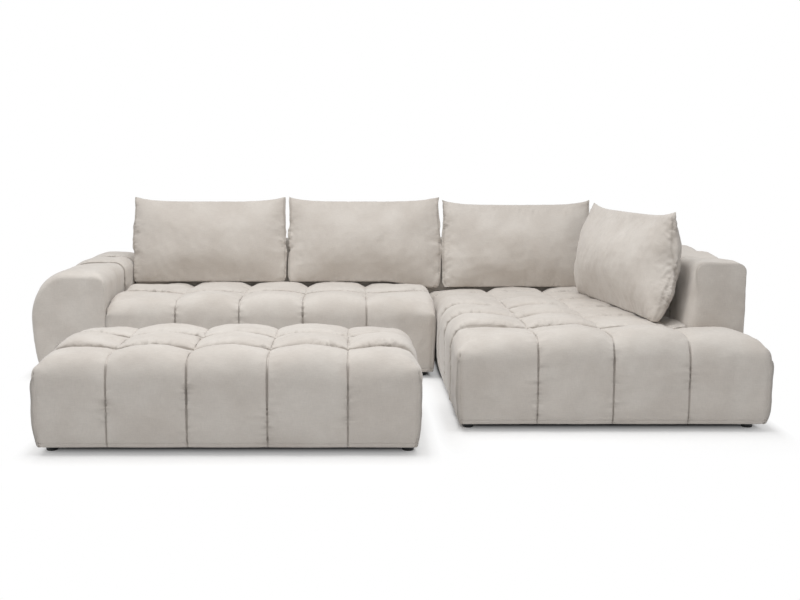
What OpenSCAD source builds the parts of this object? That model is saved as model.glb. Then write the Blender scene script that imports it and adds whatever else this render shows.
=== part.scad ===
// Corner sofa with a chaise on the right and a matching ottoman.
// Units are millimetres. X runs to the right, Y to the rear, Z up from the floor.
// The origin is on the floor, under the centre of the whole set.

/* [Modules] */
// Width of the sofa module, from its arm to the chaise
main_w = 1965; // [1700:5:2300]
// Depth of the sofa module
main_d = 1050; // [950:5:1200]
// Width of the chaise module
chaise_w = 1255; // [1100:5:1500]
// Depth of the chaise module
chaise_d = 2090; // [1800:5:2300]
// Gap between the sofa module and the chaise module
module_gap = 6; // [2:1:12]
// Width of the ottoman
ottoman_w = 1434; // [1200:2:1500]
// Depth of the ottoman
ottoman_d = 800; // [700:5:900]
// Floor left between the ottoman and the sofa module
ottoman_front_gap = 593; // [550:1:700]
// Floor left between the ottoman and the chaise
ottoman_side_gap = 154; // [60:1:240]

/* [Seats] */
// Height of the tufting knots on both seats
seat_knot_h = 365; // [340:1:400]
// Height of the tufting knots on the ottoman
ottoman_knot_h = 351; // [330:1:380]
// Rise of a seam line between two knots
seam_rise = 8; // [4:1:14]
// Rise of a free cell above its seam lines
cell_crown = 38; // [24:1:50]
// Rise of a cell that a loose cushion presses down
pressed_crown = 22; // [14:1:24]
// Fall of the chaise seat from its front knots to its rear
chaise_fall = 20; // [0:1:40]
// Column width of the sofa seat
main_column = 310; // [280:1:330]
// Depth of the front cells of the sofa seat
main_front_row = 400; // [360:1:420]
// Column width of the chaise seat
chaise_column = 301; // [270:1:320]
// Depth of the front cells of the chaise
chaise_front_row = 323; // [300:1:340]
// Depth of the other cells of the chaise
chaise_row = 326; // [300:1:330]
// Column width of the ottoman
ottoman_column = 296; // [260:1:310]
// Depth of the middle cells of the ottoman
ottoman_row = 272; // [240:1:300]
// Radius of a free upper edge
edge_r = 110; // [80:1:125]
// Radius of an edge that lies against an arm or a back
joined_r = 55; // [40:1:70]
// Radius of a sewn corner
corner_r = 40; // [30:1:50]
// Drop of a sewn corner below the cell
corner_drop = 42; // [20:1:50]
// Depth of a seam on an upright side
seam_d = 18; // [8:1:22]
// How far a free side draws in at its hem
hem_tuck = 18; // [8:1:20]

/* [Arm, block and backs] */
// Width of the rounded arm
arm_w = 366; // [320:1:400]
// Height of the rounded arm
arm_h = 520; // [480:1:560]
// Height at which the arm is widest
arm_belly_h = 274; // [240:1:300]
// Length of the arm from its front to its first seam, and between its seams
arm_bay = 285; // [260:1:310]
// Radius of the arm's inner upper edge
arm_inner_r = 70; // [50:1:90]
// Width of the side block at its foot
block_w = 240; // [220:1:280]
// Height of the side block
block_h = 640; // [600:1:700]
// How far the block stands in from the widest line of the chaise
block_set_in = 20; // [10:1:30]
// Lean of the block's inner face over its height above the seat
block_lean = 40; // [20:1:60]
// Length between the seams over the block
block_bay = 300; // [260:1:340]
// Height of the two rear backs
back_h = 610; // [580:1:650]
// Thickness of the rear backs at the seat
back_t = 258; // [240:1:280]
// Thickness of the rear backs near their top
back_top_t = 208; // [180:1:230]

/* [Loose cushions] */
// Width of each back cushion, left to right
back_cushion_w = [828, 822, 804]; // [760:1:840]
// Height of a back cushion along its face
back_cushion_h = 465; // [420:1:490]
// Length of the side cushion
side_cushion_w = 1160; // [1000:5:1180]
// Height of the side cushion along its face
side_cushion_h = 462; // [420:1:500]
// Half the thickness of a back cushion
cushion_crown = 98; // [80:1:110]
// Half the thickness of the side cushion
side_cushion_crown = 118; // [90:1:125]
// How far the sides of a cushion draw in between its corners
cushion_draw = 20; // [10:1:30]
// Gap between neighbouring back cushions
cushion_gap = 22; // [10:1:30]
// Length of a pointed cushion corner
cushion_ear = 14; // [8:1:20]

/* [Frames] */
// Height of the feet
foot_h = 32; // [28:1:50]
// Diameter of a foot at the floor
foot_d = 44; // [40:1:60]
// How far the feet stand in from the sides of the sofa
foot_in_x = 60; // [56:1:90]
// How far the feet stand in from the sides of the ottoman
ottoman_foot_in = 47; // [46:1:70]
// How far the feet stand in from the fronts and rears
foot_in_y = 112; // [90:1:140]
// Thickness of the dust cover
dust_t = 2; // [1:0.5:3]
// Thickness of a frame board
board_t = 25; // [22:1:30]
// Height of the base frame
rail_h = 170; // [140:1:180]
// Width of a corner block of a base frame
corner_block = 130; // [120:1:150]
// Width of a webbing strap
strap_w = 70; // [50:1:80]
// Thickness of a webbing strap
strap_t = 3; // [2:0.5:4]
// Thickness of the padded cover on an upright side
pad_t = 32; // [30:1:38]
// Thickness of the padded cover around the seat foam
foam_in = 72; // [70:1:90]
// Padded cover above the seat foam, at a knot
knot_pad = 20; // [16:1:30]
// Radius of a foot bolt
bolt_r = 4; // [3:0.5:5]
// Length of a foot bolt above the dust cover
bolt_grip = 60; // [40:1:80]
// Width of a joining plate
plate_w = 60; // [50:1:80]
// Length of a joining plate
plate_l = 180; // [160:2:220]
// Thickness of a joining plate
plate_t = 4; // [3:0.5:6]

/* [Hidden] */

// Clearance between soft pieces, and of a bolt in its hole
clear = 0.3;
over = 1;

// Places of the modules
set_w = main_w + module_gap + chaise_w;
set_d = max(chaise_d, main_d + ottoman_front_gap + ottoman_d);
main_x0 = -set_w / 2;
main_x1 = main_x0 + main_w;
chaise_x0 = main_x1 + module_gap;
chaise_x1 = set_w / 2;
rear_y = set_d / 2;
main_y0 = rear_y - main_d;
chaise_y0 = rear_y - chaise_d;
ottoman_x1 = chaise_x0 - ottoman_side_gap;
ottoman_x0 = ottoman_x1 - ottoman_w;
ottoman_y1 = main_y0 - ottoman_front_gap;
ottoman_y0 = ottoman_y1 - ottoman_d;
seat_x0 = main_x0 + arm_w + clear;
back_y0 = rear_y - back_t;
seat_y1 = back_y0 - clear;
block_x1 = chaise_x1 - block_set_in;
block_x0 = block_x1 - block_w;
block_y0 = chaise_y0 + chaise_front_row;

// Heights in the stack from the floor up
hem_z = foot_h;
rail_z = foot_h + dust_t;
rail_top = rail_z + rail_h;
foam_z = rail_top + strap_t + clear;

// Seat lines
main_seams_x = seams(seat_x0, main_x1, main_column, 4);
main_seams_y = [main_y0 + main_front_row];
chaise_seams_x = seams(chaise_x0, chaise_x1, chaise_column, 3);
chaise_seams_y = [for (k = [0:4]) chaise_y0 + chaise_front_row + k * chaise_row];
ottoman_seams_x = seams(ottoman_x0, ottoman_x1, ottoman_column, 4);
ottoman_seams_y = seams(ottoman_y0, ottoman_y1, ottoman_row, 2);

// Shape of a padded cell and of its rolled edge
puff_in = 2.2;
puff_out = 0.6;
arc_angles = [45, 70, 90];
side_angles = [20, 0];
side_steps = 3;
inner_steps = 4;
outer_steps = 3;
corner_reach = 240;
// Share of a seam's depth that is gone at the hem
seam_fade = 0.8;

// Shape of the cushions
cushion_lean = 13;
cushion_sink = 16;
free_above = 90;
cushion_columns = 10;
cushion_rows = 8;
rim_half_t = 3;
rim_least = 1;
draw_power = 3;
ear_power = 6;
swell_in = 2.6;
swell_out = 0.7;
cover_t = 6;
zip_l = 520;
zip_t = 5;
zip_in = 13;
back_cushion_in = 55;
arm_free_h = 30;
side_lean = 8.5;
side_cushion_off = 168;
side_cushion_y = 626;
side_cushion_turn = 5;
side_cushion_bow = 44;
// Length that a filling lacks at each side of its cover
filling_short = 50;

fabric_c = [0.76, 0.73, 0.69];
wood_c = [0.78, 0.64, 0.45];
foam_c = [0.95, 0.92, 0.78];
strap_c = [0.25, 0.25, 0.27];
dust_c = [0.16, 0.16, 0.17];
foot_c = [0.06, 0.06, 0.06];
steel_c = [0.7, 0.71, 0.73];

function lerp(a, b, t) = a + (b - a) * t;
function smooth(t) = t <= 0 ? 0 : t >= 1 ? 1 : t * t * (3 - 2 * t);
function puff(t) = pow(max(0, 1 - pow(abs(2 * t - 1), puff_in)), puff_out);
function arc2(cx, cy, r, a0, a1, n) =
    [for (k = [0:n]) let (a = lerp(a0, a1, k / n)) [cx + r * cos(a), cy + r * sin(a)]];
// Seams of n + 1 columns: the inner columns have the given width, the outer two share the rest
function seams(a, b, width, n) = [for (k = [0:n - 1]) (a + b) / 2 + (k - (n - 1) / 2) * width];

// Grid lines across a tufted form, each as [side, angle or place, cell weight].
// The side is -1 or 1 on a rolled edge and 0 in between.
function cell_lines(a, b, s, ra, rb) = concat(
    [for (t = arc_angles) [-1, t, 1]],
    [for (k = [1:outer_steps - 1])
        let (t = k / outer_steps) [0, lerp(a + ra, s[0], t), puff((1 - t) / 2)]],
    [for (i = [0:1:len(s) - 2], k = [0:inner_steps - 1])
        [0, lerp(s[i], s[i + 1], k / inner_steps), puff(k / inner_steps)]],
    [[0, s[len(s) - 1], 0]],
    [for (k = [1:outer_steps - 1])
        let (t = k / outer_steps) [0, lerp(s[len(s) - 1], b - rb, t), puff(t / 2)]],
    [for (k = [len(arc_angles) - 1:-1:0]) [1, arc_angles[k], 1]]);
function line_angle(l) = l[0] == 0 ? 90 : l[1];
function line_near(l, a, b) = l[0] != 0 ? 0 : smooth(min(l[1] - a, b - l[1]) / corner_reach);
function inward(r, angle, w) = r * (1 - cos(angle)) + (1 - w) * seam_d * cos(angle);
function line_place(l, a, b, ra, rb, w) =
    l[0] == 0 ? l[1] : l[0] < 0 ? a + inward(ra, l[1], w) : b - inward(rb, l[1], w);

// A tufted form with rolled edges and sewn corners, closed at its hem.
// box is [x0, x1, y0, y1], radii are those of the same four sides, and tucks their draw at the hem.
// The knots fall by fall from the line fall_y to the rear. pressed lists the areas, each as
// [x0, x1, y0, y1], whose cells a loose cushion presses down.
module tufted(box, seams_x, seams_y, radii, tucks, knot_h, fall = 0, fall_y = 0, pressed = []) {
    lx = cell_lines(box[0], box[1], seams_x, radii[0], radii[1]);
    ly = cell_lines(box[2], box[3], seams_y, radii[2], radii[3]);
    nx = len(lx) - 1;
    ny = len(ly) - 1;
    function radius(r, near) = lerp(min(r, corner_r), r, near);
    function near_x(i) = line_near(lx[i], box[0], box[1]);
    function near_y(j) = line_near(ly[j], box[2], box[3]);
    function px(i, j) = line_place(lx[i], box[0], box[1],
        radius(radii[0], near_y(j)), radius(radii[1], near_y(j)), ly[j][2]);
    function py(i, j) = line_place(ly[j], box[2], box[3],
        radius(radii[2], near_x(i)), radius(radii[3], near_x(i)), lx[i][2]);
    function crown_at(x, y) =
        len([for (p = pressed) if (x > p[0] && x < p[1] && y > p[2] && y < p[3]) 1]) > 0
        ? pressed_crown : cell_crown;
    function knot_at(y) = knot_h - fall * max(0, (y - fall_y) / (box[3] - fall_y));
    function drop(l, ra, rb, near) =
        l[0] == 0 ? 0 : radius(l[0] < 0 ? ra : rb, near) * (1 - sin(l[1]));
    function pz(i, j) = let (wx = lx[i][2], wy = ly[j][2], x = px(i, j), y = py(i, j))
        knot_at(y) + seam_rise * (1 - (1 - wx) * (1 - wy))
        + crown_at(x, y) * (1 - (1 - wx) * sin(line_angle(ly[j]))) * (1 - (1 - wy) * sin(line_angle(lx[i])))
        - drop(lx[i], radii[0], radii[1], near_y(j)) - drop(ly[j], radii[2], radii[3], near_x(i))
        - corner_drop * (1 - near_x(i)) * (1 - near_y(j));
    top = [for (i = [0:nx], j = [0:ny]) [px(i, j), py(i, j), pz(i, j)]];

    // The outline of the top, walked once around, as [i, j]
    rim = concat(
        [for (i = [0:nx - 1]) [i, 0]], [for (j = [0:ny - 1]) [nx, j]],
        [for (i = [nx:-1:1]) [i, ny]], [for (j = [ny:-1:1]) [0, j]]);
    m = len(rim);
    // A rim point lower down: step counts the rings below the top
    function side_x(v) = v[0] == 0 ? -1 : v[0] == nx ? 1 : 0;
    function side_y(v) = v[1] == 0 ? -1 : v[1] == ny ? 1 : 0;
    function ring_point(v, step) = let (
        sx = side_x(v), sy = side_y(v),
        angle = step <= len(side_angles) ? side_angles[step - 1] : 0,
        down = max(0, step - len(side_angles)) / side_steps,
        rx = radius(radii[sx < 0 ? 0 : 1], near_y(v[1])),
        ry = radius(radii[sy < 0 ? 2 : 3], near_x(v[0])),
        tx = tucks[sx < 0 ? 0 : 1] * down * down,
        ty = tucks[sy < 0 ? 2 : 3] * down * down,
        wx = lx[v[0]][2], wy = ly[v[1]][2],
        left = 1 - seam_fade * down,
        w = sx == 0 ? wx : sy == 0 ? wy : 1,
        x = sx == 0 ? px(v[0], v[1]) : sx < 0
            ? box[0] + rx * (1 - cos(angle)) + (1 - w) * seam_d * left + tx
            : box[1] - rx * (1 - cos(angle)) - (1 - w) * seam_d * left - tx,
        y = sy == 0 ? py(v[0], v[1]) : sy < 0
            ? box[2] + ry * (1 - cos(angle)) + (1 - w) * seam_d * left + ty
            : box[3] - ry * (1 - cos(angle)) - (1 - w) * seam_d * left - ty,
        r = sx == 0 ? ry : sy == 0 ? rx : corner_r,
        edge = knot_at(y) + seam_rise + crown_at(x, y) * (1 - (1 - w) * sin(angle))
            - r * (1 - sin(angle)) - corner_drop * (1 - near_x(v[0])) * (1 - near_y(v[1])),
        z = lerp(edge, hem_z, down))
        [x, y, z];
    steps = len(side_angles) + side_steps;
    rings = [for (s = [1:steps], v = rim) ring_point(v, s)];
    centre = [(box[0] + box[1]) / 2, (box[2] + box[3]) / 2, hem_z];
    points = concat(top, rings, [centre]);
    t = len(top);
    function at(v) = v[0] * (ny + 1) + v[1];
    function ring_at(s, k) = s == 0 ? at(rim[k % m]) : t + (s - 1) * m + k % m;
    faces = concat(
        [for (i = [0:nx - 1], j = [0:ny - 1]) each [
            [at([i, j]), at([i, j + 1]), at([i + 1, j + 1])],
            [at([i, j]), at([i + 1, j + 1]), at([i + 1, j])]]],
        [for (s = [0:steps - 1], k = [0:m - 1]) each [
            [ring_at(s, k), ring_at(s, k + 1), ring_at(s + 1, k + 1)],
            [ring_at(s, k), ring_at(s + 1, k + 1), ring_at(s + 1, k)]]],
        [for (k = [0:m - 1]) [ring_at(steps, k), ring_at(steps, k + 1), len(points) - 1]]);
    polyhedron(points, faces, convexity = 8);
}

// A closed solid through rings of equal count, its two ends fanned from their centres
module loft(rings) {
    m = len(rings[0]);
    n = len(rings);
    function mean(r) = [for (a = [0:2]) [for (p = r) p[a]] * [for (p = r) 1] / len(r)];
    points = concat([for (r = rings) each r], [mean(rings[0]), mean(rings[n - 1])]);
    faces = concat(
        [for (s = [0:n - 2], k = [0:m - 1]) each [
            [s * m + k, s * m + (k + 1) % m, (s + 1) * m + (k + 1) % m],
            [s * m + k, (s + 1) * m + (k + 1) % m, (s + 1) * m + k]]],
        [for (k = [0:m - 1]) [n * m, (k + 1) % m, k]],
        [for (k = [0:m - 1]) [n * m + 1, (n - 1) * m + k, (n - 1) * m + (k + 1) % m]]);
    polyhedron(points, faces, convexity = 6);
}

module box3(x0, x1, y0, y1, z0, z1) {
    translate([x0, y0, z0]) cube([x1 - x0, y1 - y0, z1 - z0]);
}

// Section of the rounded arm as [x from its widest line, z], counter-clockwise from the rear
arm_flat_w = 96;
arm_mid_h = 60;
arm_top_x = arm_w - arm_inner_r - arm_flat_w;
arm_round = 2.3;
arm_foot_in = 36;
function arm_side(z) = z < arm_belly_h
    ? arm_foot_in * pow((arm_belly_h - z) / (arm_belly_h - hem_z), 2)
    : arm_top_x - arm_top_x * pow(max(0, 1 - pow((z - arm_belly_h) / (arm_h - arm_belly_h), arm_round)),
        1 / arm_round);
function arm_section() = concat(
    [[arm_w, hem_z], [arm_w, rail_top + arm_mid_h]],
    arc2(arm_w - arm_inner_r, arm_h - arm_inner_r, arm_inner_r, 0, 90, 4),
    [[arm_top_x, arm_h]],
    [for (f = [0.97, 0.9, 0.78, 0.6, 0.36, 0]) let (z = lerp(arm_belly_h, arm_h, f)) [arm_side(z), z]],
    [for (f = [0.5, 0]) let (z = lerp(hem_z, arm_belly_h, f)) [arm_side(z), z]]);

// Section of the side block
block_r = 38;
block_fillet = 5;
function block_section() = let (a = atan2(block_lean, block_h - seat_knot_h),
    arc_x = block_r * cos(a) + (block_h - block_r + block_r * sin(a) - seat_knot_h) * tan(a)) concat(
    [[block_w, hem_z]],
    arc2(block_w - block_r, block_h - block_r, block_r, 0, 90, block_fillet),
    arc2(arc_x, block_h - block_r, block_r, 90, 180 - a, block_fillet),
    [[0, seat_knot_h], [0, hem_z]]);

// A section drawn in by a distance towards its middle, with its hem left on its height
function drawn_in(section, by) = let (
    cx = [for (p = section) p[0]] * [for (p = section) 1] / len(section),
    cz = [for (p = section) p[1]] * [for (p = section) 1] / len(section))
    [for (p = section) let (d = norm([p[0] - cx, p[1] - cz]), f = 1 - by / d)
        [cx + (p[0] - cx) * f, p[1] == hem_z ? hem_z : cz + (p[1] - cz) * f]];
function ring_xz(section, x, y) = [for (p = section) [x + p[0], y, p[1]]];

// A long upholstered body with seams across it and softly rounded ends.
// stops are [distance, draw] pairs from its front.
module bolster(section, x, y, stops) {
    loft([for (s = stops) ring_xz(drawn_in(section, s[1]), x, y + s[0])]);
}
seam_half = 26;
seam_dip = 12;
function seam_stops(first, pitch, n) =
    [for (k = [0:n - 1]) let (c = first + k * pitch) each
        [[c - seam_half, 0], [c, seam_dip], [c + seam_half, 0]]];

// A frame of upright boards on the plan [x0, x1, y0, y1], with cross boards, corner blocks
// and a block over each foot
module base_frame(plan, crosses, feet) {
    inner = [plan[0] + board_t, plan[1] - board_t, plan[2] + board_t, plan[3] - board_t];
    difference() {
        union() {
            difference() {
                box3(plan[0], plan[1], plan[2], plan[3], rail_z, rail_top);
                box3(inner[0], inner[1], inner[2], inner[3], rail_z - over, rail_top + over);
            }
            for (k = [1:crosses]) {
                x = lerp(plan[0], plan[1], k / (crosses + 1));
                box3(x - board_t / 2, x + board_t / 2, inner[2] - over, inner[3] + over, rail_z, rail_top);
            }
            for (sx = [0, 1], sy = [0, 1])
                box3(sx == 0 ? plan[0] : plan[1] - corner_block, sx == 0 ? plan[0] + corner_block : plan[1],
                    sy == 0 ? plan[2] : plan[3] - corner_block, sy == 0 ? plan[2] + corner_block : plan[3],
                    rail_z, rail_z + block_depth);
            for (f = feet)
                box3(max(plan[0], f[0] - foot_block_w / 2), min(plan[1], f[0] + foot_block_w / 2),
                    max(plan[2], f[1] - corner_block / 2), min(plan[3], f[1] + corner_block / 2),
                    rail_z, rail_z + block_depth);
        }
        bolt_holes(feet);
        children();
    }
}
block_depth = 90;
foot_block_w = 200;

// Webbing straps over a frame plan, as many along X and along Y as counts says
main_straps = [5, 10];
chaise_straps = [11, 5];
chaise_leg_straps = [1, 1];
ottoman_straps = [4, 8];
module webbing(plan, counts) {
    for (k = [1:counts[1]]) {
        x = lerp(plan[0], plan[1], k / (counts[1] + 1));
        box3(x - strap_w / 2, x + strap_w / 2, plan[2], plan[3], rail_top, rail_top + strap_t / 2);
    }
    for (k = [1:counts[0]]) {
        y = lerp(plan[2], plan[3], k / (counts[0] + 1));
        box3(plan[0], plan[1], y - strap_w / 2, y + strap_w / 2, rail_top + strap_t / 2, rail_top + strap_t);
    }
}

module bolt_holes(feet) {
    for (f = feet)
        translate([f[0], f[1], 0])
            cylinder(r = bolt_r + clear, h = foot_h + dust_t + bolt_grip + clear, $fn = 32);
}
module foot_bolts(feet) {
    color(steel_c) for (f = feet)
        translate([f[0], f[1], foot_sole])
            cylinder(r = bolt_r, h = foot_h - foot_sole + dust_t + bolt_grip, $fn = 32);
}
foot_sole = 8;
foot_taper = 3;
foot_edge = 2;
module feet(places) {
    color(foot_c) for (f = places) translate([f[0], f[1], 0]) difference() {
        rotate_extrude($fn = 64) polygon([
            [0, 0], [foot_d / 2 - foot_edge, 0], [foot_d / 2, foot_edge],
            [foot_d / 2 + foot_taper, foot_h], [0, foot_h]]);
        translate([0, 0, foot_sole]) cylinder(r = bolt_r + clear, h = foot_h, $fn = 32);
    }
}

// Inner sides of the covers, as distances from the widest lines of what they cover
arm_pad = 60;
arm_upper_pad = 92;
arm_inner_pad = 45;
arm_top_pad = 62;
end_pad = 42;
back_pad = 25;
back_end_pad = 30;
back_front_pad = 20;
back_foam_t = 50;
back_top_pad = 42;
block_pad = 30;
block_inner_pad = 26;
block_top_pad = 52;
block_front_pad = 36;
panel_t = 18;
top_foam_t = 36;
open_z = rail_top + strap_t + clear;
rib_step = 420;

// Floor plans inside the covers. The sofa's rails touch the arm's and the back's frames.
main_plan = [seat_x0 - clear, main_x1 - pad_t - clear, main_y0 + pad_t + clear, back_y0];
chaise_main_plan = [chaise_x0 + pad_t + clear, block_x0, chaise_y0 + pad_t + clear, back_y0];
chaise_leg_plan = [block_x0, chaise_x1 - pad_t - clear, chaise_y0 + pad_t + clear, block_y0];
ottoman_plan = [ottoman_x0 + pad_t + clear, ottoman_x1 - pad_t - clear,
    ottoman_y0 + pad_t + clear, ottoman_y1 - pad_t - clear];

// Places of the feet
arm_foot_x = main_x0 + arm_pad + corner_block / 2;
main_seat_feet = [for (x = [seat_x0 + foot_in_x, main_x1 - foot_in_x]) [x, main_y0 + foot_in_y]];
main_arm_feet = [for (y = [main_y0 + foot_in_y, rear_y - foot_in_y]) [arm_foot_x, y]];
main_back_feet = [for (x = [main_x1 - foot_in_x]) [x, rear_y - foot_in_y]];
chaise_seat_feet = [for (y = [chaise_y0 + foot_in_y, (chaise_y0 + rear_y) / 2]) [chaise_x0 + foot_in_x, y]];
chaise_corner_feet = [[chaise_x1 - foot_in_x, chaise_y0 + foot_in_y]];
chaise_block_feet = [for (y = [(block_y0 + rear_y) / 2, rear_y - foot_in_y]) [(block_x0 + block_x1) / 2, y]];
chaise_back_feet = [[chaise_x0 + foot_in_x, rear_y - foot_in_y]];
ottoman_feet_at = [for (x = [ottoman_x0 + ottoman_foot_in, ottoman_x1 - ottoman_foot_in],
    y = [ottoman_y0 + foot_in_y, ottoman_y1 - foot_in_y]) [x, y]];
main_feet_at = concat(main_seat_feet, main_arm_feet, main_back_feet);
chaise_feet_at = concat(chaise_seat_feet, chaise_corner_feet, chaise_block_feet, chaise_back_feet);

main_arm_plan = [main_x0 + arm_pad + clear, main_x0 + arm_w,
    main_y0 + end_pad + clear, rear_y - back_pad - clear];
main_back_plan = [main_x0 + arm_w, main_x1 - back_end_pad - clear, back_y0, rear_y - back_pad - clear];
chaise_back_plan = [chaise_x0 + back_end_pad + clear, block_x0, back_y0, rear_y - back_pad - clear];
block_plan = [block_x0, block_x1 - block_pad - clear, block_y0, rear_y - back_pad - clear];

// Bolts between frames, each as [x, y, z, turn], and screws of the joining plates
bolt_share = 0.65;
bolt_z = rail_z + rail_h * bolt_share;
bolt_past_block = 40;
bolt_end = corner_block + bolt_past_block;
main_frame_bolts_at = concat(
    [for (y = [main_plan[2] + bolt_end, back_y0 - bolt_end]) [main_x0 + arm_w, y, bolt_z, 0]],
    [for (x = [main_plan[0] + bolt_end, main_plan[1] - bolt_end]) [x, back_y0, bolt_z, 90]]);
chaise_frame_bolts_at = concat(
    [for (y = [block_y0 + bolt_end, back_y0 - bolt_end]) [block_x0, y, bolt_z, 0]],
    [for (x = [chaise_main_plan[0] + bolt_end, block_x0 - bolt_end]) [x, back_y0, bolt_z, 90]]);
join_x = [main_x1 - pad_t - clear - board_t / 2, chaise_x0 + pad_t + clear + board_t / 2];
join_in = 330;
join_y = [main_y0 + join_in, rear_y - join_in];
join_screws_at = [for (x = join_x, y = join_y, s = [-1, 1]) [x, y + s * plate_w / 4]];
screw_r = 2.5;
screw_grip = 32;
screw_head_r = 5;
screw_head_h = 2.5;
bolt_head_r = 7;
bolt_head_h = 5;

module frame_bolt_holes(places) {
    for (p = places) translate([p[0], p[1], p[2]]) rotate([0, 0, p[3]]) rotate([0, 90, 0])
        cylinder(r = bolt_r + clear, h = 2 * board_t + 2 * over, center = true, $fn = 32);
}
module frame_bolts(places) {
    color(steel_c) for (p = places) translate([p[0], p[1], p[2]]) rotate([0, 0, p[3]]) rotate([0, 90, 0]) {
        cylinder(r = bolt_r, h = 2 * board_t, center = true, $fn = 32);
        for (s = [0, 1]) mirror([0, 0, s]) translate([0, 0, board_t])
            cylinder(r = bolt_head_r, h = bolt_head_h, $fn = s == 0 ? 32 : 6);
    }
}
module screw_holes() {
    for (p = join_screws_at) translate([p[0], p[1], foot_h - plate_t - over])
        cylinder(r = screw_r + clear, h = plate_t + over + dust_t + screw_grip, $fn = 32);
}

// Ribs between two panels, evenly spread along Y or X, with a top board
module ribs(plan, z0, z1, along) {
    n = ceil((along == 1 ? plan[3] - plan[2] : plan[1] - plan[0]) / rib_step);
    for (k = [0:n]) {
        if (along == 1) {
            y = lerp(plan[2], plan[3] - board_t, k / n);
            box3(plan[0], plan[1], y, y + board_t, z0, z1);
        } else {
            x = lerp(plan[0], plan[1] - board_t, k / n);
            box3(x, x + board_t, plan[2], plan[3], z0, z1);
        }
    }
    box3(plan[0], plan[1], plan[2], plan[3], z1 - panel_t, z1);
}

module main_seat_cover() {
    color(fabric_c) difference() {
        tufted([seat_x0, main_x1, main_y0, seat_y1], main_seams_x, main_seams_y,
            [joined_r, joined_r, edge_r, joined_r], [0, hem_tuck / 2, hem_tuck, 0], seat_knot_h,
            pressed = [[seat_x0, main_x1, main_seams_y[0], seat_y1]]);
        box3(seat_x0 - over, main_x1 - pad_t, main_y0 + pad_t, seat_y1 + over, hem_z - over, open_z);
        box3(seat_x0 + foam_in, main_x1 - foam_in, main_y0 + foam_in, seat_y1 - foam_in,
            hem_z, seat_knot_h - knot_pad);
    }
}
module main_seat_foam() {
    in = foam_in + clear;
    color(foam_c) box3(seat_x0 + in, main_x1 - in, main_y0 + in, seat_y1 - in,
        foam_z, seat_knot_h - knot_pad - clear);
}
module main_webbing() { color(strap_c) webbing(main_plan, main_straps); }
module main_base_frame() {
    color(wood_c) base_frame(main_plan, 3, main_seat_feet) {
        frame_bolt_holes(main_frame_bolts_at);
        screw_holes();
    }
}
module main_dust_cover() {
    dust_sheet_set([main_plan, main_arm_plan, main_back_plan], main_feet_at);
}
module dust_sheet_set(plans, feet) {
    color(dust_c) difference() {
        union() for (p = plans) box3(p[0], p[1], p[2], p[3], foot_h, foot_h + dust_t);
        bolt_holes(feet);
        screw_holes();
    }
}

arm_front = [[0, 20], [7, 5], [22, 0]];
end_round = 20;
end_draw = 12;
function rear_stops(length) = [[length - end_round, 0], [length, end_draw]];
arm_stops = concat(arm_front, seam_stops(arm_bay, arm_bay, 3), rear_stops(main_d));
module main_arm_cover() {
    color(fabric_c) difference() {
        bolster(arm_section(), main_x0, main_y0, arm_stops);
        box3(main_x0 + arm_pad, main_x0 + arm_w + over, main_y0 + end_pad, rear_y - back_pad,
            hem_z - over, open_z);
        box3(main_x0 + arm_upper_pad, main_x0 + arm_w - arm_inner_pad, main_y0 + end_pad, rear_y - back_pad,
            hem_z, arm_h - arm_top_pad);
    }
}
arm_upper_plan = [main_x0 + arm_upper_pad + clear, main_x0 + arm_w - arm_inner_pad - clear,
    main_y0 + end_pad + clear, rear_y - back_pad - clear];
arm_frame_top = arm_h - arm_top_pad - top_foam_t - 2 * clear;
module main_arm_frame() {
    color(wood_c) union() {
        base_frame(main_arm_plan, 0, main_arm_feet) frame_bolt_holes(main_frame_bolts_at);
        ribs(arm_upper_plan, rail_top, arm_frame_top, 1);
    }
}
module main_arm_foam() {
    p = arm_upper_plan;
    color(foam_c) box3(p[0], p[1], p[2], p[3], arm_frame_top + clear, arm_h - arm_top_pad - clear);
}

// Section of a rear back as [distance in front of the rear, z]
back_r = 40;
back_slope_below = 5;
back_slope_h = seat_knot_h - back_slope_below;
function back_section() = let (a = atan2(back_t - back_top_t, back_h - back_slope_h),
    arc_y = back_r * cos(a) - back_t + (back_h - back_r + back_r * sin(a) - back_slope_h) * tan(a)) concat(
    [[0, hem_z], [-back_t, hem_z], [-back_t, back_slope_h]],
    arc2(arc_y, back_h - back_r, back_r, 180 - a, 90, 6),
    arc2(-back_r, back_h - back_r, back_r, 90, 0, 6));
module back_cover(x0, x1, open_left) {
    left_in = open_left ? -over : back_end_pad;
    right_in = open_left ? back_end_pad : -over;
    color(fabric_c) difference() {
        translate([x0, rear_y, 0]) rotate([90, 0, 90])
            linear_extrude(x1 - x0) polygon(back_section());
        box3(x0 + left_in, x1 - right_in, back_y0 - over, rear_y - back_pad, hem_z - over, open_z);
        box3(x0 + back_end_pad, x1 - back_end_pad, rear_y - back_top_t + back_front_pad, rear_y - back_pad,
            hem_z, back_h - back_top_pad);
    }
}
function back_upper(x0, x1) = [x0 + back_end_pad + clear, x1 - back_end_pad - clear,
    rear_y - back_top_t + back_front_pad + back_foam_t + 2 * clear, rear_y - back_pad - clear];
module back_frame(x0, x1, plan, feet, bolts) {
    color(wood_c) union() {
        base_frame(plan, 2, feet) {
            frame_bolt_holes(bolts);
            screw_holes();
        }
        ribs(back_upper(x0, x1), rail_top, back_h - back_top_pad - clear, 0);
    }
}
module back_foam(x0, x1) {
    p = back_upper(x0, x1);
    color(foam_c) box3(p[0], p[1], p[2] - clear - back_foam_t, p[2] - clear,
        open_z, back_h - back_top_pad - clear);
}
module main_back_cover() { back_cover(seat_x0, main_x1, true); }
module main_back_frame() {
    back_frame(seat_x0, main_x1, main_back_plan, main_back_feet, main_frame_bolts_at);
}
module main_back_foam() { back_foam(seat_x0, main_x1); }
module main_frame_bolts() { frame_bolts(main_frame_bolts_at); }
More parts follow.
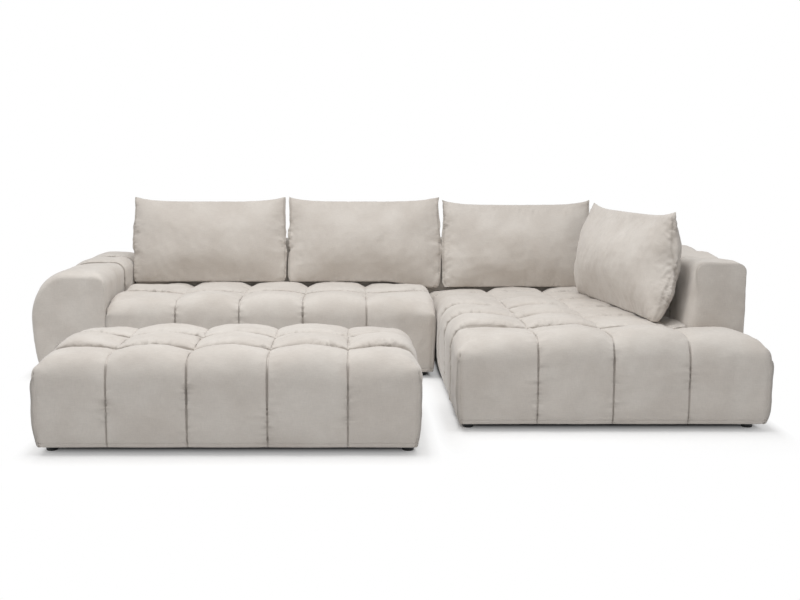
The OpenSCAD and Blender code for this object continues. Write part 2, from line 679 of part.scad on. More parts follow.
module main_feet() { feet(main_feet_at); }
module main_foot_bolts() { foot_bolts(main_feet_at); }

module chaise_seat_cover() {
    color(fabric_c) difference() {
        tufted([chaise_x0, chaise_x1, chaise_y0, seat_y1], chaise_seams_x, chaise_seams_y,
            [edge_r, edge_r, edge_r, joined_r], [hem_tuck, hem_tuck, hem_tuck, 0], seat_knot_h,
            fall = chaise_fall, fall_y = chaise_seams_y[0],
            pressed = [[chaise_seams_x[1], chaise_x1, chaise_seams_y[0], seat_y1],
                [chaise_x0, chaise_x1, chaise_seams_y[3], seat_y1]]);
        box3(block_x0 - clear, chaise_x1 + over, block_y0 - clear, seat_y1 + over, hem_z - over, block_h);
        box3(chaise_x0 + pad_t, block_x0, chaise_y0 + pad_t, seat_y1 + over, hem_z - over, open_z);
        box3(block_x0 - over, chaise_x1 - pad_t, chaise_y0 + pad_t, block_y0, hem_z - over, open_z);
        chaise_foam_space(0, hem_z);
    }
}
module chaise_foam_space(gap, z0) {
    in = foam_in + gap;
    top = seat_knot_h - chaise_fall - knot_pad - gap;
    union() {
        box3(chaise_x0 + in, block_x0 - pad_t - gap, chaise_y0 + in, seat_y1 - in, z0, top);
        box3(chaise_x0 + in, chaise_x1 - in, chaise_y0 + in, block_y0 - pad_t - gap, z0, top);
    }
}
module chaise_seat_foam() { color(foam_c) chaise_foam_space(clear, foam_z); }
module chaise_webbing() {
    color(strap_c) {
        webbing(chaise_main_plan, chaise_straps);
        webbing(chaise_leg_plan, chaise_leg_straps);
    }
}
module chaise_base_frame() {
    color(wood_c) union() {
        base_frame(chaise_main_plan, 2, chaise_seat_feet) {
            frame_bolt_holes(chaise_frame_bolts_at);
            screw_holes();
        }
        base_frame(chaise_leg_plan, 0, chaise_corner_feet);
    }
}
module chaise_dust_cover() {
    dust_sheet_set([chaise_main_plan, chaise_leg_plan, block_plan, chaise_back_plan], chaise_feet_at);
}
block_d = rear_y - block_y0;
block_front = [[0, 14], [6, 3], [16, 0]];
block_stops = concat(block_front, seam_stops(block_bay, block_bay, 4), rear_stops(block_d));
module chaise_block_cover() {
    color(fabric_c) difference() {
        bolster(block_section(), block_x0, block_y0, block_stops);
        box3(block_x0 - over, block_x1 - block_pad, block_y0 - over, rear_y - back_pad, hem_z - over, open_z);
        box3(block_x0 + block_lean + block_inner_pad, block_x1 - block_pad, block_y0 + block_front_pad,
            rear_y - back_pad, hem_z, block_h - block_top_pad);
    }
}
block_upper_plan = [block_x0 + block_lean + block_inner_pad + clear, block_x1 - block_pad - clear,
    block_y0 + block_front_pad + clear, rear_y - back_pad - clear];
block_frame_top = block_h - block_top_pad - top_foam_t - 2 * clear;
module chaise_block_frame() {
    color(wood_c) union() {
        base_frame(block_plan, 0, chaise_block_feet) frame_bolt_holes(chaise_frame_bolts_at);
        ribs(block_upper_plan, rail_top, block_frame_top, 1);
    }
}
module chaise_block_foam() {
    p = block_upper_plan;
    color(foam_c) box3(p[0], p[1], p[2], p[3], block_frame_top + clear, block_h - block_top_pad - clear);
}
module chaise_back_cover() { back_cover(chaise_x0, block_x0 - clear, false); }
module chaise_back_frame() {
    back_frame(chaise_x0, block_x0, chaise_back_plan, chaise_back_feet, chaise_frame_bolts_at);
}
module chaise_back_foam() { back_foam(chaise_x0, block_x0); }
module chaise_frame_bolts() { frame_bolts(chaise_frame_bolts_at); }
module chaise_feet() { feet(chaise_feet_at); }
module chaise_foot_bolts() { foot_bolts(chaise_feet_at); }

module joining_plates() {
    color(steel_c) difference() {
        for (y = join_y)
            translate([(main_x1 + chaise_x0) / 2 - plate_l / 2, y - plate_w / 2, foot_h - plate_t])
                cube([plate_l, plate_w, plate_t]);
        screw_holes();
    }
}
module joining_screws() {
    color(steel_c) for (p = join_screws_at) translate([p[0], p[1], foot_h - plate_t]) {
        cylinder(r = screw_r, h = plate_t + dust_t + screw_grip - over, $fn = 32);
        mirror([0, 0, 1]) cylinder(r = screw_head_r, h = screw_head_h, $fn = 32);
    }
}

module ottoman_cover() {
    color(fabric_c) difference() {
        tufted([ottoman_x0, ottoman_x1, ottoman_y0, ottoman_y1], ottoman_seams_x, ottoman_seams_y,
            [edge_r, edge_r, edge_r, edge_r], [hem_tuck, hem_tuck, hem_tuck, hem_tuck], ottoman_knot_h);
        box3(ottoman_x0 + pad_t, ottoman_x1 - pad_t, ottoman_y0 + pad_t, ottoman_y1 - pad_t,
            hem_z - over, open_z);
        box3(ottoman_x0 + foam_in, ottoman_x1 - foam_in, ottoman_y0 + foam_in, ottoman_y1 - foam_in,
            hem_z, ottoman_knot_h - knot_pad);
    }
}
module ottoman_foam() {
    in = foam_in + clear;
    color(foam_c) box3(ottoman_x0 + in, ottoman_x1 - in, ottoman_y0 + in, ottoman_y1 - in,
        foam_z, ottoman_knot_h - knot_pad - clear);
}
module ottoman_webbing() { color(strap_c) webbing(ottoman_plan, ottoman_straps); }
module ottoman_base_frame() { color(wood_c) base_frame(ottoman_plan, 2, ottoman_feet_at); }
module ottoman_dust_cover() { dust_sheet_set([ottoman_plan], ottoman_feet_at); }
module ottoman_feet() { feet(ottoman_feet_at); }
module ottoman_foot_bolts() { foot_bolts(ottoman_feet_at); }

// A loose cushion: a pillow with a thin sewn edge and pointed corners.
// size is [width, height, half thickness]; place gives a point in the room from its own [x, up, front].
function cushion_x(u, v, w) =
    u * (w / 2 - cushion_draw * (1 - pow(abs(2 * v - 1), draw_power)));
function cushion_up(u, v, h) =
    lerp(cushion_draw / 2, h - cushion_draw + (cushion_draw + cushion_ear) * pow(abs(u), ear_power), v)
    - (1 - v) * cushion_draw / 2 * pow(abs(u), ear_power);
function swell(t) = pow(max(0, 1 - pow(abs(t), swell_in)), swell_out);
function cushion_t(u, v) = swell(u) * swell(2 * v - 1);
function spread(k, n) = sin(lerp(-90, 90, k / n));

// Back cushion k: its place in the room and the planes that it rests on
function back_cushion_x(k) =
    seat_x0 + (k > 0 ? back_cushion_w[0] + cushion_gap : 0)
    + (k > 1 ? back_cushion_w[1] + cushion_gap : 0) + back_cushion_w[k] / 2;
function rest_fall(x, y) = x < chaise_x0 ? 0
    : chaise_fall * max(0, min(1, (y - chaise_seams_y[0]) / (seat_y1 - chaise_seams_y[0])));
rest_h = seat_knot_h + seam_rise + pressed_crown + clear;
back_rise = back_h - back_slope_h;
block_rise = block_h - seat_knot_h;
function back_face(z) = back_y0 + (back_t - back_top_t) * (z - back_slope_h) / back_rise
    + max(0, z - back_h - free_above);
function block_face(z) = block_x0 + block_lean * (z - seat_knot_h) / block_rise
    + max(0, z - block_h - free_above);
cushion_base_y = back_face(rest_h) - back_cushion_in;
function place_back(k, p, in) = let (
    y0 = cushion_base_y + p[1] * sin(cushion_lean) - p[2] * cos(cushion_lean),
    base = rest_h - (k == 2 ? rest_fall(chaise_x1, cushion_base_y) : 0),
    z = max(base + in, base - cushion_sink + p[1] * cos(cushion_lean) + p[2] * sin(cushion_lean)),
    x0 = back_cushion_x(k) + p[0],
    x = k == 0 && z < arm_h + arm_free_h ? max(seat_x0 + in, x0) : x0,
    y = min(back_face(z) - clear - in, y0))
    [x, y, z];
// The side cushion's front end sags back towards the block at half height
function side_bow(p) = side_cushion_bow * (0.5 + p[0] / side_cushion_w)
    * max(0, 1 - pow(2 * p[1] / side_cushion_h - 1, 2));
function place_side(p, in) = let (
    up_x = p[1] * sin(side_lean) - p[2] * cos(side_lean) + side_bow(p),
    lx = up_x * cos(side_cushion_turn) + p[0] * sin(side_cushion_turn),
    ly = up_x * sin(side_cushion_turn) - p[0] * cos(side_cushion_turn),
    y = block_y0 + side_cushion_y + ly,
    base = rest_h - rest_fall(chaise_x1, y),
    z = max(base + in, base - cushion_sink + p[1] * cos(side_lean) + p[2] * sin(side_lean)),
    x = min(block_face(z) - clear - in, block_x0 - side_cushion_off + lx))
    [x, y, z];
function place(k, p, in) = k < 3 ? place_back(k, p, in) : place_side(p, in);

// Point i, j of cushion k's grid on its front, side 1, or rear, side -1, drawn in by a distance
function pillow_point(k, in, i, j, side) = let (
    w = (k < 3 ? back_cushion_w[k] : side_cushion_w) - 2 * in,
    h = (k < 3 ? back_cushion_h : side_cushion_h) - 2 * in,
    u = spread(i, cushion_columns),
    v = (spread(j, cushion_rows) + 1) / 2,
    crown = k < 3 ? cushion_crown : side_cushion_crown,
    half = lerp(max(rim_half_t - in, rim_least), crown - in, cushion_t(u, v)))
    place(k, [cushion_x(u, v, w), in + cushion_up(u, v, h), side * half], in);

// Solid of cushion k, drawn in by a distance: its front, its rear and the rim between them
module pillow(k, in) {
    nu = cushion_columns;
    nv = cushion_rows;
    count = (nu + 1) * (nv + 1);
    points = [for (side = [1, -1], i = [0:nu], j = [0:nv]) pillow_point(k, in, i, j, side)];
    function f(i, j) = i * (nv + 1) + j;
    function r(i, j) = count + f(i, j);
    rim = concat([for (i = [0:nu - 1]) [i, 0]], [for (j = [0:nv - 1]) [nu, j]],
        [for (i = [nu:-1:1]) [i, nv]], [for (j = [nv:-1:1]) [0, j]]);
    polyhedron(points, concat(
        [for (i = [0:nu - 1], j = [0:nv - 1]) each [
            [f(i, j), f(i, j + 1), f(i + 1, j + 1)], [f(i, j), f(i + 1, j + 1), f(i + 1, j)]]],
        [for (i = [0:nu - 1], j = [0:nv - 1]) each [
            [r(i, j), r(i + 1, j + 1), r(i, j + 1)], [r(i, j), r(i + 1, j), r(i + 1, j + 1)]]],
        [for (n = [0:len(rim) - 1]) let (a = rim[n], b = rim[(n + 1) % len(rim)]) each [
            [f(a[0], a[1]), f(b[0], b[1]), r(b[0], b[1])],
            [f(a[0], a[1]), r(b[0], b[1]), r(a[0], a[1])]]]),
        convexity = 4);
}
// A flat strip along the bottom of cushion k, for its zip and the slit that holds it
module bottom_strip(k, half_l, half_t, z0, z1) {
    corners = [for (x = [-half_l, half_l], t = [-half_t, half_t], z = [z0, z1])
        place(k, [x, 0, t - zip_in], 0) + [0, 0, z]];
    polyhedron(corners, [[0, 1, 3], [0, 3, 2], [4, 7, 5], [4, 6, 7], [0, 5, 1], [0, 4, 5],
        [2, 3, 7], [2, 7, 6], [0, 2, 6], [0, 6, 4], [1, 5, 7], [1, 7, 3]]);
}
module cushion_cover(k) {
    color(fabric_c) difference() {
        pillow(k, 0);
        pillow(k, cover_t);
        bottom_strip(k, zip_l / 2 + clear, zip_t / 2 + clear, -over, cover_t + over);
    }
}
module cushion_filling(k) {
    half = (k < 3 ? back_cushion_w[k] : side_cushion_w) / 2 - filling_short;
    side_y = block_y0 + side_cushion_y;
    color(foam_c) intersection() {
        pillow(k, cover_t + clear);
        if (k < 3) box3(back_cushion_x(k) - half, back_cushion_x(k) + half, main_y0, rear_y, 0, set_d);
        else box3(chaise_x0, chaise_x1, side_y - half, side_y + half, 0, set_d);
    }
}
module cushion_zip(k) { color(strap_c) bottom_strip(k, zip_l / 2, zip_t / 2, clear, cover_t); }
module left_cushion_cover() { cushion_cover(0); }
module left_cushion_filling() { cushion_filling(0); }
module left_cushion_zip() { cushion_zip(0); }
module middle_cushion_cover() { cushion_cover(1); }
module middle_cushion_filling() { cushion_filling(1); }
module middle_cushion_zip() { cushion_zip(1); }
module right_cushion_cover() { cushion_cover(2); }
module right_cushion_filling() { cushion_filling(2); }
module right_cushion_zip() { cushion_zip(2); }
module side_cushion_cover() { cushion_cover(3); }
module side_cushion_filling() { cushion_filling(3); }
module side_cushion_zip() { cushion_zip(3); }

main_seat_cover();
main_seat_foam();
main_webbing();
main_base_frame();
main_dust_cover();
main_arm_cover();
main_arm_frame();
main_arm_foam();
main_back_cover();
main_back_frame();
main_back_foam();
main_frame_bolts();
main_feet();
main_foot_bolts();
chaise_seat_cover();
chaise_seat_foam();
chaise_webbing();
chaise_base_frame();
chaise_dust_cover();
chaise_block_cover();
chaise_block_frame();
chaise_block_foam();
chaise_back_cover();
chaise_back_frame();
chaise_back_foam();
chaise_frame_bolts();
chaise_feet();
chaise_foot_bolts();
joining_plates();
joining_screws();
ottoman_cover();
ottoman_foam();
ottoman_webbing();
ottoman_base_frame();
ottoman_dust_cover();
ottoman_feet();
ottoman_foot_bolts();
left_cushion_cover();
left_cushion_filling();
left_cushion_zip();
middle_cushion_cover();
middle_cushion_filling();
middle_cushion_zip();
right_cushion_cover();
right_cushion_filling();
right_cushion_zip();
side_cushion_cover();
side_cushion_filling();
side_cushion_zip();
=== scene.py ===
"""The look of a tufted corner sofa with a chaise and a matching ottoman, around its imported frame.

Lengths are metres in the frame's own axes: X to the right, Y to the rear, Z up from the floor.
"""

import math

import bmesh
import bpy
import numpy as np
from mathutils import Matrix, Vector


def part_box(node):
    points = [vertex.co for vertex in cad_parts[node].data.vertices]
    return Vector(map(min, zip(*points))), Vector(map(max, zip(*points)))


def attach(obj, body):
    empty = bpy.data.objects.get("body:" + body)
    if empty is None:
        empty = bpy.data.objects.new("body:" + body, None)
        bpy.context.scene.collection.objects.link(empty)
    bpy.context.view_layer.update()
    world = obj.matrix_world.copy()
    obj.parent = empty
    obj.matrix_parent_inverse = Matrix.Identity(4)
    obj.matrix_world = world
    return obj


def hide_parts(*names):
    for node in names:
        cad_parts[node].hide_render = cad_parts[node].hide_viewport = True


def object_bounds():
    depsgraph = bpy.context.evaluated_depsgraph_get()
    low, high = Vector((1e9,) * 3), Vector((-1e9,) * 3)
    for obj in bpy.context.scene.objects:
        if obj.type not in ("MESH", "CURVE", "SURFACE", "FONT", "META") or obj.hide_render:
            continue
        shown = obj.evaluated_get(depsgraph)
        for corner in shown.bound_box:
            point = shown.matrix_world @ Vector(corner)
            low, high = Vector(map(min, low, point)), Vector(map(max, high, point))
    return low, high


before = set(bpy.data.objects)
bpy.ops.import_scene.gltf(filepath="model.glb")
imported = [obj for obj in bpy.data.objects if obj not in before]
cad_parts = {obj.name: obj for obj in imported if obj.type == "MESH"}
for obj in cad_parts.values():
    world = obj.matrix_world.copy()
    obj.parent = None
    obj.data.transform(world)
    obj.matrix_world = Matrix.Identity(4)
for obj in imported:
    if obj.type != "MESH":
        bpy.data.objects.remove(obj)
CAD_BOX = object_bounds()

# Mesh
STEP = 0.007  # distance between the grid lines of a cover
BESIDE = (0.0012, 0.0026, 0.0044, 0.0070, 0.0110)  # places of the lines beside a seam
GROOVE_D, GROOVE_W = 0.0065, 0.0026  # depth and half width of the crease along a seam
TINY = 1e-6
EDGE_LINES = 9  # grid lines over a rolled edge's upper part

# Seats
SEAT_KNOT_H = 0.365
OTTOMAN_KNOT_H = 0.351
SEAM_RISE = 0.008
CELL_CROWN = 0.038
REAR_ROW_CROWN = 0.027
PRESSED_CROWN = 0.016
OTTOMAN_REAR_CROWN = 0.028
CHAISE_FALL = 0.030
MAIN_COLUMN, MAIN_FRONT_ROW = 0.310, 0.400
CHAISE_COLUMN, CHAISE_FRONT_ROW, CHAISE_ROW = 0.301, 0.323, 0.326
OTTOMAN_COLUMN, OTTOMAN_ROW = 0.296, 0.272
MAIN_ROW_DEPTH, CHAISE_ROW_DEPTH, OTTOMAN_ROW_DEPTH = 0.35, 0.55, 0.7  # of the rows' seams on the top
EDGE_R, CHAISE_OUTER_R, JOINED_R, CORNER_R = 0.110, 0.150, 0.055, 0.034
CORNER = (0.072, 0.270, 1.0)  # how far a corner drops, how far the drop reaches, the rear corners' share
CHAISE_CORNER = (0.088, 0.340, 0.4)
SEAM_D, SEAM_FADE = 0.018, 0.8  # how deep a seam runs into a side, and how much of that is gone at the hem
HEM_TUCK = 0.018
HEM_H = 0.032
HEM_FOLD = 0.030
HEM_SEAM = 0.017  # height of the stitched line over the hem
HEM_HEIGHTS = (0.027, 0.022, 0.0195, 0.018, 0.017, 0.016, 0.0145, 0.012, 0.008, 0.004, 0.0015)
ROW_FRONT_IN, ROW_FRONT_OUT, ROW_REAR_IN = 6.0, 0.5, 2.2  # powers of a row's round profile
COLUMN_STEEP = 0.24  # share of a steep side in a cell's otherwise round profile
ROW_SIDE_SHARE = 0.4  # how deep the rows' seams run into a cover's sides, as a share of the columns'
TOP_ANGLE = math.radians(45)  # where the top's grid ends and the upright side's rings begin
SEAT_GATHER = 0.0022  # height of the gathers beside a seat's seams
SEAT_FILL, BODY_FILL, CUSHION_FILL = 0.85, 0.9, 0.6

# Fabric
NAP = ((0.577, 0.532, 0.486), (0.628, 0.587, 0.542))
PAINTED_SHADE_TONE = (0.42, 0.40, 0.38, 1)  # share of the fabric's colour left where painted shade is full: deep in a crease, along a sewn edge, in a pleat's valley
PLEAT_DEPTH = 0.011  # how deep the fabric's material cuts the short pleats beside seams
# PLEAT_LOW and PLEAT_SHADE give painted shade in the pleats' valleys: it grows as the pleats' noise falls
# from the first value to the second, up to PLEAT_SHADE
PLEAT_SCALE, PLEAT_LOW, PLEAT_SHADE = 48.0, (0.47, 0.36), 0.45

# Arm, block and backs
ARM_W, ARM_H, ARM_BELLY_H, ARM_BAY = 0.366, 0.524, 0.274, 0.285
ARM_INNER_R, ARM_FLAT_W, ARM_ROUND, ARM_FOOT_IN = 0.070, 0.096, 2.3, 0.036
BLOCK_W, BLOCK_H, BLOCK_LEAN, BLOCK_BAY, BLOCK_R = 0.246, 0.646, 0.040, 0.300, 0.038
BACK_H, BACK_T, BACK_TOP_T, BACK_R, BACK_SLOPE_H = 0.610, 0.258, 0.208, 0.040, 0.360
ARM_DIP, BODY_DIP = 0.014, 0.007  # how deep a body's seams lie
END_TURNS = 9  # outlines in a rounded end
CAP_RINGS = 22  # rings of a body's flat end
CLEAR = 0.0003

# Loose cushions: left, middle, right and side
CUSHION_LEAN, SIDE_LEAN, SIDE_TURN = math.radians(13), math.radians(8.5), math.radians(5)
CUSHION_SINK = 0.016
REST_H = SEAT_KNOT_H + SEAM_RISE + PRESSED_CROWN + CLEAR
FREE_ABOVE = 0.090
REST_BEND = 0.022
BACK_CUSHION_IN, SIDE_CUSHION_OFF, SIDE_CUSHION_Y = 0.055, 0.168, 0.626
BACK_CUSHION_W, CUSHION_GAP = (0.828, 0.822, 0.804), 0.022
CUSHION_W, CUSHION_H = (*BACK_CUSHION_W, 1.160), (0.465, 0.465, 0.465, 0.462)
CUSHION_HALF_T = (0.098, 0.098, 0.098, 0.118)
CUSHION_TOP_SHADE = (0.15, 0.15, 0.15, 0.06)  # how much painted shade darkens a cushion's colour towards its top
CUSHION_RISE = (0.009, 0.009, 0.020, 0.018)  # how far the blown-up top stands over the sewn panels
SIDE_CUSHION_BOW, SIDE_REAR_SHARE = 0.044, 0.78
CUSHION_EAR, CUSHION_DRAW = 0.018, 0.010
CORNER_SAG = 0.034  # how far the middle cushion's corner hangs into the gap beside the main seat
SIM_FRAMES, SIM_PITCH, QUICK_PITCH = 26, 0.014, 0.016
FILLING_SHARE = 0.92
FOAM_SHARE = (0.985, 0.985, 0.95)
FOAM_EDGE = 0.006
CLOTH_MESH, CLOTH_T, CLOTH_LIFT, CLOTH_SLACK = 0.09, 0.0006, 0.0008, 0.0006

# Camera, light and floor
CAMERA_AT = (-0.057, -5.3205, 1.1556)
CAMERA_PITCH = math.radians(7.93)
CAMERA_LENS, CAMERA_SENSOR, CAMERA_SHIFT_X = 51.7, 36, 0.061
LAMP_AT, LAMP_AIM, LAMP_SIZE, LAMP_POWER = (-0.5, -0.9, 4.0), (0, 0, 0.3), (4.5, 3.5), 146
WORLD_LIGHT = 0.50
FLOOR_SIZE = 60
FLOOR_TONE, FLOOR_SEEN = 0.74, 0.95
FLOOR_SIDE = 4.5  # how much faster the painted glow fades the shadow beside the furniture than in front of it
FLOOR_FADE = (-0.13, 0.35)  # where the painted glow that lifts the shadow begins inside the outline and is full outside it
# Share of the painted glow at distances from the outline
FLOOR_LIFT = ((-0.06, 0.34), (0.0, 0.38), (0.10, 0.40), (0.20, 0.68))
BLACK, WHITE = (0, 0, 0), (1, 1, 1)


def smooth(t):
    t = np.clip(t, 0, 1)
    return t * t * (3 - 2 * t)


def lerp(a, b, t):
    return a + (b - a) * t


def column_puff(t):
    """Rise of a padded cell across its width: 0 at its seams, 1 in the middle, round in between."""
    s = np.abs(2 * t - 1)
    return lerp(1 - s ** 2, np.sqrt(np.maximum(0, 1 - s ** 8)), COLUMN_STEEP)


def row_puff(t):
    """Rise of a cell from its front seam to its rear one: it swells up steeply and falls slowly."""
    s = np.abs(2 * t - 1)
    front = np.maximum(0, 1 - s ** ROW_FRONT_IN) ** ROW_FRONT_OUT
    return np.where(t < 0.5, front, 1 - s ** ROW_REAR_IN)


def waves(points, length, seed, count=18):
    """A smooth random field of about that wavelength and unit strength."""
    rng = np.random.default_rng(seed)
    turns = rng.normal(size=(count, 3))
    turns /= np.linalg.norm(turns, axis=1)[:, None]
    turns *= (2 * math.pi / length * rng.uniform(0.7, 1.3, count))[:, None]
    return np.cos(points @ turns.T + rng.uniform(0, 2 * math.pi, count)).sum(1) / math.sqrt(count / 2)


def gathers(points, across, distance, seed, length=0.024, reach=0.03):
    """Short pleats that run away from a seam: across scales each axis, distance is to the seam."""
    ridges = waves(points * np.array(across), length, seed)
    here = smooth(0.5 + 0.6 * waves(points, 0.16, seed + 1))
    return ridges * here * np.exp(-distance / reach) * smooth(distance / 0.006)


def bell(distance, width):
    return np.exp(-(distance / width) ** 2)


def link_object(name, data):
    obj = bpy.data.objects.new(name, data)
    bpy.context.scene.collection.objects.link(obj)
    return obj


def new_object(name, points, faces):
    mesh = bpy.data.meshes.new(name)
    mesh.from_pydata([tuple(p) for p in points], [], [tuple(f) for f in faces])
    obj = link_object(name, mesh)
    bm = bmesh.new()
    bm.from_mesh(mesh)
    bmesh.ops.remove_doubles(bm, verts=bm.verts, dist=TINY)
    bmesh.ops.recalc_face_normals(bm, faces=bm.faces)
    bm.to_mesh(mesh)
    bm.free()
    mesh.shade_smooth()
    return obj


def face_out(obj):
    """Turns the faces of a closed form outwards."""
    bm = bmesh.new()
    bm.from_mesh(obj.data)
    if bm.calc_volume(signed=True) < 0:
        bmesh.ops.reverse_faces(bm, faces=bm.faces)
        bm.to_mesh(obj.data)
    bm.free()
    obj.data.update()


def coordinates(obj, kind="co"):
    values = np.zeros(len(obj.data.vertices) * 3)
    obj.data.vertices.foreach_get(kind, values)
    return values.reshape(-1, 3)


def normals(obj):
    return coordinates(obj, "normal")


def set_coordinates(obj, co):
    obj.data.vertices.foreach_set("co", co.ravel())
    obj.data.update()


def mark(obj, name, values):
    """Stores a value for each point, which the fabric's material reads."""
    layer = obj.data.attributes.new(name, "FLOAT", "POINT")
    layer.data.foreach_set("value", np.asarray(values, np.float32))


def apply_modifiers(obj):
    graph = bpy.context.evaluated_depsgraph_get()
    made = bpy.data.meshes.new_from_object(obj.evaluated_get(graph), depsgraph=graph)
    obj.modifiers.clear()
    obj.data = made


# Materials


class Graph:
    """The nodes of a material or of the world. Each method adds nodes and returns an output."""

    def __init__(self, owner):
        owner.use_nodes = True
        self.nodes, self.links = owner.node_tree.nodes, owner.node_tree.links

    def fill(self, node, inputs):
        """Links each input to an output, or sets its value."""
        for key, value in dict(inputs).items():
            if isinstance(value, bpy.types.NodeSocket):
                self.links.new(value, node.inputs[key])
            else:
                node.inputs[key].default_value = value

    def add(self, kind, out, inputs=(), **settings):
        node = self.nodes.new("ShaderNode" + kind)
        for name, value in settings.items():
            setattr(node, name, value)
        self.fill(node, inputs)
        return node.outputs[out]

    def spot(self, stretch=(1, 1, 1)):
        return self.add("Mapping", "Vector", {"Vector": self.add("TexCoord", "Object"), "Scale": stretch})

    def noise(self, vector, scale, detail):
        return self.add("TexNoise", "Fac", {"Vector": vector, "Scale": scale, "Detail": detail})

    def ramp(self, fac, *stops):
        """Colours over a value, where stops lists (value, colour)."""
        colour = self.add("ValToRGB", "Color", {"Fac": fac})
        elements = colour.node.color_ramp.elements
        for element, (place, tone) in zip(elements, stops):
            element.position, element.color = place, (*tone, 1)
        for place, tone in stops[2:]:
            elements.new(place).color = (*tone, 1)
        return colour

    def tones(self, fac, low, high):
        return self.ramp(fac, (0.35, low), (0.65, high))

    def multiply(self, a, b, fac=1.0):
        return self.add("Mix", "Result", {"Factor": fac, "A": a, "B": b}, data_type="RGBA",
                        blend_type="MULTIPLY")

    def bump(self, height, depth, strength, under=None):
        inputs = {"Height": height, "Distance": depth, "Strength": strength}
        if under is not None:
            inputs["Normal"] = under
        return self.add("Bump", "Normal", inputs)

    def math(self, operation, *values):
        return self.add("Math", 0, enumerate(values), operation=operation)

    def vector(self, operation, *values, out="Vector"):
        return self.add("VectorMath", out, enumerate(values), operation=operation)

    def attribute(self, name):
        return self.add("Attribute", "Fac", attribute_name=name)


def node_material(name):
    mat = bpy.data.materials.new(name)
    graph = Graph(mat)
    return mat, graph, graph.nodes["Principled BSDF"]


def upholstery():
    """Short-napped woven fabric: a fine weave, an uneven tone of its napped pile, a soft sheen at grazing
    angles and painted shade.
    """
    mat, graph, shader = node_material("upholstery_fabric")
    spot, warp, weft = graph.spot(), graph.spot((1, 1, 0.12)), graph.spot((0.12, 0.12, 1))
    tint = graph.tones(graph.noise(spot, 7.0, 4.0), *NAP)
    for threads in (warp, weft):
        tint = graph.multiply(tint, graph.tones(graph.noise(threads, 420.0, 2.0), (0.972,) * 3, (1.018,) * 3))
    # Painted shade: the values each piece stores darken the colour in creases, along sewn edges and towards
    # the cushions' tops
    tint = graph.multiply(tint, PAINTED_SHADE_TONE, graph.attribute("painted_shade"))
    weave = graph.bump(graph.noise(warp, 700.0, 1.0), 0.0006, 0.5)
    weave = graph.bump(graph.noise(weft, 700.0, 1.0), 0.0006, 0.5, weave)
    weave = graph.bump(graph.noise(spot, 60.0, 3.0), 0.0012, 0.35, weave)
    for name, stretch in (("pleats_over_x", (0.12, 1, 1)), ("pleats_over_y", (1, 0.12, 1))):
        here = graph.attribute(name)
        folds = graph.noise(graph.spot(stretch), PLEAT_SCALE, 1.0)
        weave = graph.bump(graph.math("MULTIPLY", folds, here), PLEAT_DEPTH, 1.0, weave)
        # Painted shade in the pleats' valleys darkens the colour
        valley_shade = graph.add("MapRange", "Result", {"Value": folds, "From Min": PLEAT_LOW[0],
                                                  "From Max": PLEAT_LOW[1], "To Max": PLEAT_SHADE})
        tint = graph.multiply(tint, PAINTED_SHADE_TONE, graph.math("MULTIPLY", valley_shade, here))
    graph.fill(shader, {"Base Color": tint, "Normal": weave, "Roughness": 0.88, "Specular IOR Level": 0.2,
                        "Sheen Weight": 0.28, "Sheen Roughness": 0.45})
    return mat


def plain_material(name, low, high, blend, relief, depth, strength, rough, stretch=(1, 1, 1), metallic=0.0):
    """A material of two tones with a fine relief, each from noise (scale, detail). Detail 0 gives pores."""
    mat, graph, shader = node_material(name)
    spot = graph.spot(stretch)
    if relief[1]:
        height = graph.noise(spot, *relief)
    else:
        height = graph.add("TexVoronoi", "Distance", {"Vector": spot, "Scale": relief[0]})
    graph.fill(shader, {"Base Color": graph.tones(graph.noise(spot, *blend), low, high),
                        "Normal": graph.bump(height, depth, strength), "Roughness": rough,
                        "Metallic": metallic})
    return mat


PLAIN = {
    "dust_cloth": ((0.020, 0.020, 0.022), (0.034, 0.034, 0.037), (500.0, 2.0), (500.0, 1.0), 0.0006, 0.6,
                   0.9),
    "zip_tape": ((0.42, 0.39, 0.36), (0.50, 0.47, 0.43), (900.0, 2.0), (900.0, 1.0), 0.0006, 0.6, 0.9),
    "webbing": ((0.05, 0.05, 0.055), (0.11, 0.11, 0.115), (350.0, 2.0), (350.0, 1.0), 0.0006, 0.6, 0.9),
    "foam": ((0.78, 0.72, 0.50), (0.86, 0.81, 0.62), (9.0, 3.0), (240.0, 0), 0.001, 0.6, 0.95),
    "fibre_filling": ((0.84, 0.84, 0.83), (0.92, 0.92, 0.91), (9.0, 3.0), (90.0, 0), 0.001, 0.6, 0.95),
    "frame_wood": ((0.52, 0.36, 0.19), (0.72, 0.55, 0.33), (2.4, 6.0), (2.4, 6.0), 0.0008, 0.4, 0.62,
                   (6, 6, 60)),
    "black_plastic": ((0.010, 0.010, 0.011), (0.020, 0.020, 0.021), (40.0, 3.0), (900.0, 3.0), 0.0002, 0.5,
                      0.48),
    "zinc_steel": ((0.52, 0.53, 0.55), (0.68, 0.69, 0.72), (3.0, 3.0), (3.0, 3.0), 0.0002, 0.3, 0.36,
                   (40, 400, 400), 1.0),
}
MATERIALS = {name: plain_material(name, *look) for name, look in PLAIN.items()}
MATERIALS["upholstery_fabric"] = upholstery()
NODE_ENDINGS = {
    "_bolts": "zinc_steel", "_screws": "zinc_steel", "_plates": "zinc_steel", "_feet": "black_plastic",
    "_webbing": "webbing", "_dust_cover": "dust_cloth", "_frame": "frame_wood", "_foam": "foam",
    "_filling": "fibre_filling", "_zip": "zip_tape", "_cover": "upholstery_fabric",
}
CUSHIONS = ("left_cushion", "middle_cushion", "right_cushion", "side_cushion")


def dress(obj, slot):
    obj.data.materials.clear()
    obj.data.materials.append(MATERIALS[slot])


def ending_slot(name):
    return next(slot for end, slot in NODE_ENDINGS.items() if name.endswith(end))


